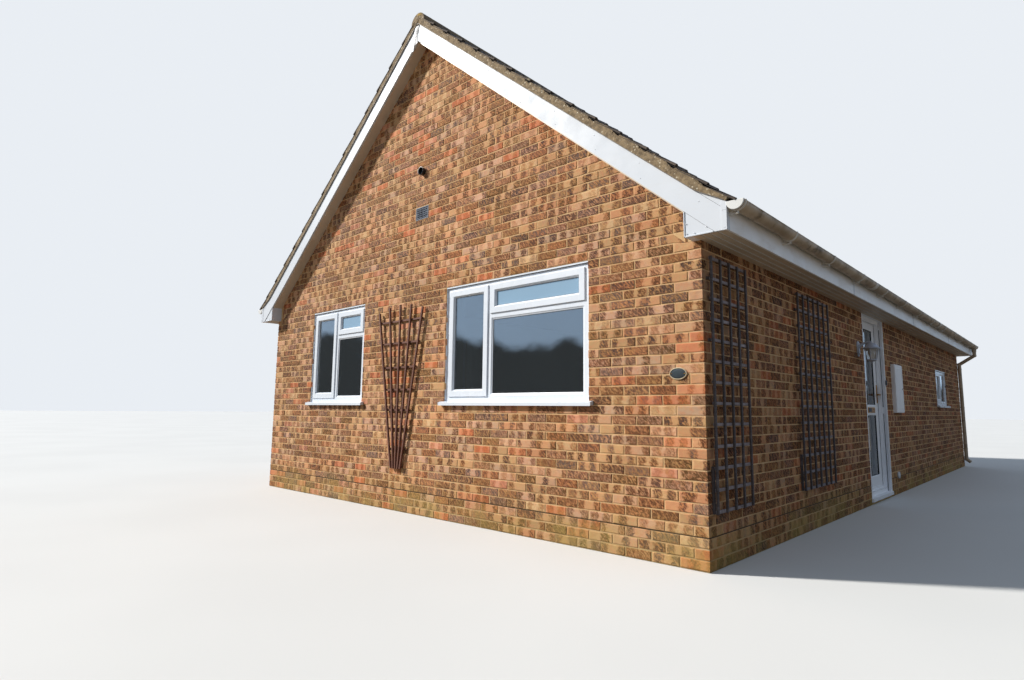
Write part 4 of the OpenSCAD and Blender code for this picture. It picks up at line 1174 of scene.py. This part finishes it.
def soffit_beads():
    """Pale rounded edges of the eaves soffit boards, beside their grooves."""
    beads = Shape()
    width = foot_x - board_t - half_w
    for side in (1, -1):
        for share in (0.25, 0.5, 0.75):
            x = side * (half_w + share * width + 7)
            rows = [(x + a, soffit_z + up) for a, up in ((-3, 0.5), (-1.5, -1.6), (1.5, -1.6), (3, 0.5))]
            beads.prism(rows, -half_l - verge_out + 12, half_l + verge_out - 12)
    make("soffit_beads", beads, "board")


def side_ring(shape, x, y, outer, inner, depths):
    """A mitred frame on the side wall: its rectangles run along y and z, its depths from x inward."""
    frame_shape = Shape()
    frame_shape.ring(outer, inner, *depths)
    points = np.concatenate(frame_shape.points)
    shape.add(np.stack([x - points[:, 1], y + points[:, 0], points[:, 2]], 1), frame_shape.faces)


def meter_cover():
    """Moulded panel and lock on the meter cover."""
    panel, lock = shapes(2)
    y0, z0 = meter_y, 1090.0
    y1, z1 = y0 + 470, z0 + 670
    rect = (y0, z0, y1, z1)
    face_x = half_w + 52
    side_ring(panel, face_x, 0, grown(rect, -46), grown(rect, -62), (0, -3.5, 3))
    lock_at = (face_x, y1 - 60, (z0 + z1) / 2)
    lock.lathe([(11, -1), (11, 2.4), (9, 3.4), (2.6, 3.4), (2.4, 1.0)], lock_at, "x", 20)
    make("meter_cover_panel", panel, "box", body="meter_cover", bevel=1.2)
    make("meter_cover_lock", lock, "seal", body="meter_cover", smooth=True)


def gutter_details():
    """Clips over the brackets, unions, stop ends and rolled rims of both gutters."""
    bands, rims, ends = shapes(3)
    front_x, back_x = gutter_x + gutter_r, gutter_x - gutter_r

    def arc(r, first, last, count):
        return [(gutter_x + r * math.cos(a), gutter_z + r * math.sin(a))
                for a in np.linspace(math.radians(first), math.radians(last), count)]

    def clip(y, width, out):
        outline = arc(gutter_r + out, 180, 360, 25) + arc(gutter_r + 0.2, 360, 180, 25)
        bands.prism(outline, y - width / 2, y + width / 2)

    clip_parts = ((foot_x + 2, gutter_x + 6, -84, -77), (gutter_x - 3, gutter_x + 6, -80, -62),
                  (front_x - 3, front_x + 7, -4, 5))
    for i in range(int((2 * gutter_y - 80) // 1000) + 1):
        y = -gutter_y + 40 + i * 1000
        clip(y, 12, 8.5)
        for x0, x1, low, high in clip_parts:
            bands.box((x0, y - 9, gutter_z + low), (x1, y + 9, gutter_z + high))
    for y in (-2460, 1540):
        clip(y, 96, 4.0)
        clip(y - 48, 8, 6.0)
        clip(y + 48, 8, 6.0)
    clip(outlet_y, 150, 3.5)
    for end in (-1, 1):
        a, b = sorted((end * (gutter_y - 9), end * (gutter_y + 6)))
        ends.prism(arc(gutter_r + 6.5, 178, 362, 33), a, b)
    for x, outline in ((front_x, ((-2.5, -5), (2.5, -4), (2.8, 2.5), (-4.5, 2.5))),
                       (back_x, ((-2.2, -4), (3.6, -5), (4.4, 3), (-2.2, 3)))):
        rims.prism([(x + a, gutter_z + up) for a, up in outline], -gutter_y, gutter_y)
    for name, shape, paint, width, steps in (("gutter_unions", bands, "bracket", 0.8, 1),
                                             ("gutter_caps", ends, "cap", 2.5, 2),
                                             ("gutter_rims", rims, "gutter", 0, 2)):
        both = moved(shape)
        both.join(shape, scale=(-1, 1, 1))
        make(name, both, paint, bevel=width, steps=steps)


def lantern():
    """Wall lantern: a cast bracket, a domed hood with a brim, and a tapered glazed body."""
    metal, panes, lamp = shapes(3)
    x, y, z = centre = (half_w + 150, door_y0 - 255, 1854.0)
    flat_on = math.radians(30)
    outline = [(-18, -100), (-34, -62), (-38, 0), (-36, 52), (-22, 74), (0, 80), (22, 74), (36, 52),
               (38, 0), (34, -62), (18, -100), (0, -106)]
    metal.prism([(y + a, z + b) for a, b in outline], half_w, half_w + 14, axis="x")
    metal.prism([(y + a * 0.66, z + b * 0.78) for a, b in outline], half_w + 12, half_w + 24, axis="x")
    arm = [(half_w + 16, y, z + 6), (half_w + 40, y, z + 30), (half_w + 70, y, z + 52),
           (half_w + 106, y, z + 62), (x - 6, y, z + 58), (x, y, z + 48)]
    metal.tube(arm, [21, 18, 13, 11, 11, 12], 14)
    hood = [(6, 72), (11, 68), (12, 61), (8, 55), (10, 51), (24, 46), (40, 38), (58, 24), (72, 8), (84, -4),
            (100, -12), (101, -17), (90, -18), (60, -16)]
    metal.lathe(hood, centre, sides=28)
    for i in range(6):
        a = math.radians(60 * i + 30)
        top = (x + 77 * math.cos(a), y + 77 * math.sin(a), z - 16)
        low = (x + 50 * math.cos(a), y + 50 * math.sin(a), z - 150)
        metal.tube([top, low], [5, 5], 6)
    metal.lathe([(80, -14), (84, -18), (82, -26), (74, -27)], centre, sides=6, turn=flat_on)
    foot = [(52, -143), (56, -148), (55, -156), (40, -163), (22, -168), (9, -171), (8, -176), (11, -181),
            (9, -187), (3, -191)]
    metal.lathe(foot, centre, sides=24)
    panes.lathe([(75, -20), (49, -148)], centre, sides=6, turn=flat_on)
    lamp.lathe([(12, -140), (14, -100), (30, -88), (32, -66), (22, -44), (10, -30)], centre, sides=20)
    piece = make("lantern_casting", metal, "metal", bevel=1.5)
    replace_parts(piece, "wall_lantern")
    make("lantern_panes", panes, "lamp_glass")
    make("lantern_lamp", lamp, "white", smooth=True)


def number_plate():
    """Bare oval plate: a pale beaded rim round a dark slate face, with two screws."""
    face, rim, screws = shapes(3)
    x, z = half_w - 200, 1354.0
    n = 48
    turns = np.linspace(0, 2 * math.pi, n + 1)[:-1]

    def oval(a, b, out):
        return np.stack([x + a * np.cos(turns), np.full(n, -half_l - out), z + b * np.sin(turns)], 1)

    rows = [oval(68, 43, 0), oval(68, 43, 8), oval(40, 25, 10.5), oval(10, 6, 11)]
    face.add(np.concatenate(rows), quads(4, n, round_columns=True) + end_caps(4, n))
    rows = [oval(70, 45, 0.5), oval(70, 45, 9), oval(68, 43, 12), oval(64, 39, 12.4), oval(62, 37, 9.6)]
    rim.add(np.concatenate(rows), quads(5, n, True, True))
    screw = [(3.6, 9.5), (3.4, 11.6), (1.8, 12.6), (0.5, 12.8)]
    for side in (-1, 1):
        screws.lathe(screw, (x + side * 52, -half_l, z), "y", 12)
    piece = make("plate_face", face, "plate")
    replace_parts(piece, "number_plate")
    make("plate_rim", rim, "rim")
    make("plate_screws", screws, "brass", smooth=True)


def gable_lamp():
    """Small black lamp barrel on the gable, with a pale arc over the top and left of its mouth: a painted
    highlight where the sun falls on the rim.
    """
    barrel, highlight_arc = shapes(2)
    centre = (0, -half_l, 3692.0)
    profile = [(30, 0), (42, 2), (43, 20), (44, 44), (40, 46), (36, 42), (33, 14), (8, 10)]
    barrel.lathe(profile, centre, "y", 32)
    # The pale arc spans only the top and left of the mouth, where the sun falls: a painted highlight
    turns = np.radians(np.linspace(40, 205, 25))
    rows = []
    for r, out in ((44.5, 30), (46.5, 31), (47, 47), (45, 49.5), (41.5, 49.5), (41, 45)):
        y = np.full(len(turns), centre[1] - out)
        rows.append(np.stack([r * np.cos(turns), y, centre[2] + r * np.sin(turns)], 1))
    highlight_arc.add(*strip(rows))
    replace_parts(make("gable_lamp_barrel", barrel, "black", bevel=0.8), "gable_lamp")
    make("gable_lamp_painted_highlight", highlight_arc, "cap", bevel=0.6)


def vent_bed():
    """Mortar squeezed round the edges of the air brick."""
    bed = Shape()
    outer = grown((-vent_half, vent_low, vent_half, vent_high), 3.5)
    bed.ring(outer, (2 - vent_half, vent_low + 1.5, vent_half - 2, vent_high - 1.5), -5, -4, 14)
    make("vent_bed", moved(bed, shift=(0, -half_l, 0)), "vent_bed", bevel=1.0)


def side_trellis_panels():
    """Square trellis panels: uprights in front of the rails, and blocks and a batten behind them."""
    uprights, rails = shapes(2)
    bar, step, rows, foot = 22.0, 150.0, 12, 380.0
    back_x, rail_x, front_x = half_w + 20, half_w + 34, half_w + 48
    sway = np.random.default_rng(5)
    for first, bays in ((55, 4), (1850, 6)):
        y0 = -half_l + first
        wide = bays * step + bar
        for i in range(bays + 1):
            y = y0 + i * step + sway.uniform(-1.5, 1.5) * (0 < i < bays)
            uprights.box((rail_x - 1, y, foot), (front_x, y + bar, foot + rows * step + bar))
        for i in range(rows + 1):
            z = foot + i * step + sway.uniform(-1.5, 1.5) * (0 < i < rows)
            rails.box((back_x, y0 + 12, z), (rail_x, y0 + wide - 2, z + bar))
        for y in (y0, y0 + wide - bar):
            for i in (8, 11):
                z = foot + i * step
                uprights.box((half_w - 1, y, z), (back_x + 1, y + bar, z + bar))
        uprights.box((half_w - 1, y0, foot), (back_x + 1, y0 + bar, foot + 2.15 * step))
    piece = make("side_trellis_uprights", uprights, "dark_wood", bevel=1.6)
    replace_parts(piece, "side_trellises")
    # The rails take the paler paint: painted light
    make("side_trellis_rails", rails, "rail_wood", bevel=1.6)


def doorway():
    """Side door: glazing beads, seals, a weather bar, a painted shadow for the letter slot and the strips
    in the frame.
    """
    white, black, strips, frame_seal, weather = shapes(5)

    def box(shape, low, high):
        shape.box(*((half_w + x, door_y0 + y, z) for x, y, z in (low, high)))

    for rect in ((166, 279, 874, 1067), (166, 1177, 874, 2185)):
        side_ring(white, half_w - 90, door_y0, grown(rect, 0.5), grown(rect, -14), (0, 7, 14))
        side_ring(black, half_w - 96.5, door_y0, grown(rect, -13), grown(rect, -17), (0, 0.6, 14))
    for a, b in ((44.8, 47.5), (992.5, 995.2)):
        box(frame_seal, (-96, a, 116), (-92.4, b, 2272))
    box(frame_seal, (-96, 46, 2272.5), (-92.4, 994, 2275.5))
    far = door_w - 8
    box(strips, (-44, far - 1.8, 40), (-38, far - 0.2, 1077))
    box(strips, (-44, far - 1.8, 1164), (-38, far - 0.2, 2200))
    box(white, (-46, far - 9, 1077), (-18, far - 0.2, 1164))
    box(strips, (-44, 8.2, 40), (-38, 9.8, 2200))
    box(weather, (-92, 60, 121), (-84, 980, 150))
    drip = [(half_w - 92, 128), (half_w - 62, 118), (half_w - 62, 114), (half_w - 92, 122)]
    weather.prism(drip, door_y0 + 56, door_y0 + 984)
    # A black block over the letter slot: painted shadow of its opening
    box(black, (-87.5, 482, 1099), (-82.2, 612, 1147))
    make("door_beads", white, "door_white", body="side_door", bevel=1.0)
    make("door_seals_and_slot_shadow", black, "seal", body="side_door")
    make("liner_strips", strips, "seal")
    make("frame_seals", frame_seal, "seal")
    make("door_weather_bar", weather, "door_white", body="side_door", bevel=1.5)


window_set()
board_details()
soffit_beads()
meter_cover()
gutter_details()
side_trellis_panels()
lantern()
number_plate()
gable_lamp()
vent_bed()
doorway()


def studio_floor():
    """A wide floor just under the house: pale to the camera, darker where it throws light up."""
    mesh = bpy.data.meshes.new("floor")
    corners = [(-150, -150, -0.002), (150, -150, -0.002), (150, 150, -0.002), (-150, 150, -0.002)]
    mesh.from_pydata(corners, [], [(0, 1, 2, 3)])
    floor = bpy.data.objects.new("floor", mesh)
    scene.collection.objects.link(floor)
    p = Paint("studio_floor", 0.9)
    seen = p.mix(p.fit(p.noise(0.4, 2.0, 0.5), 0.3, 0.7), (214, 214, 212), (218, 218, 216))
    p.colour(p.mix(p.node("ShaderNodeLightPath", "Is Camera Ray", {}), (122, 113, 100), seen))
    mesh.materials.append(p.material)


def studio_world():
    """A pale sky for the camera, an even fill, and for mirrors a blue sky over a dark, uneven horizon."""
    world = bpy.data.worlds.new("studio")
    scene.world = world
    world.use_nodes = True
    w = Nodes(world.node_tree)
    for item in list(w.tree.nodes):
        w.tree.nodes.remove(item)
    output = w.tree.nodes.new("ShaderNodeOutputWorld")
    _, rearward, height = w.split(w.node("ShaderNodeTexCoord", "Generated", {}))
    ramp = w.node("ShaderNodeValToRGB", 0, {0: height})
    tones_up = ((0.0, (0.56, 0.76, 1.0, 1)), (0.8, (0.36, 0.56, 0.92, 1)))
    for element, (position, colour) in zip(ramp.node.color_ramp.elements, tones_up):
        element.position = position
        element.color = colour
    rear = w.math("MINIMUM", w.fit(height, 0.028, 0.045), w.fit(rearward, -0.25, 0.05))
    wave = w.node("ShaderNodeTexNoise", "Fac", {"Scale": 7.0, "Detail": 5.0})
    raised = w.node("ShaderNodeMath", 0, {0: wave, 1: 0.16, 2: height}, operation="MULTIPLY_ADD")
    clear = w.math("MAXIMUM", w.fit(raised, 0.176, 0.196), rear)
    mirrored = w.mix(clear, [0.04, 0.045, 0.05, 1], ramp)
    seen = w.node("ShaderNodeBackground", 0, {"Color": (0.86, 0.90, 0.95, 1), "Strength": 0.95})
    fill = w.node("ShaderNodeBackground", 0, {"Color": (0.74, 0.85, 1.0, 1), "Strength": 0.36})
    sky = w.node("ShaderNodeBackground", 0, {"Color": mirrored, "Strength": 1.0})
    ray = w.node("ShaderNodeLightPath", "Is Camera Ray", {}).node.outputs
    unseen = w.node("ShaderNodeMixShader", 0, {0: ray["Is Glossy Ray"], 1: fill, 2: sky})
    whole = w.node("ShaderNodeMixShader", 0, {0: ray["Is Camera Ray"], 1: unseen, 2: seen})
    w.put(output.inputs["Surface"], whole)


def place_sun():
    data = bpy.data.lights.new("key", "SUN")
    data.energy = 5.4
    data.angle = math.radians(4)
    data.color = (1.0, 0.97, 0.92)
    sun = bpy.data.objects.new("key", data)
    sun.rotation_mode = "QUATERNION"
    sun.rotation_quaternion = Vector((1.55, 1.0, -1.2)).to_track_quat("-Z", "Y")
    scene.collection.objects.link(sun)


studio_floor()
studio_world()
place_sun()
scene.view_settings.view_transform = "Standard"
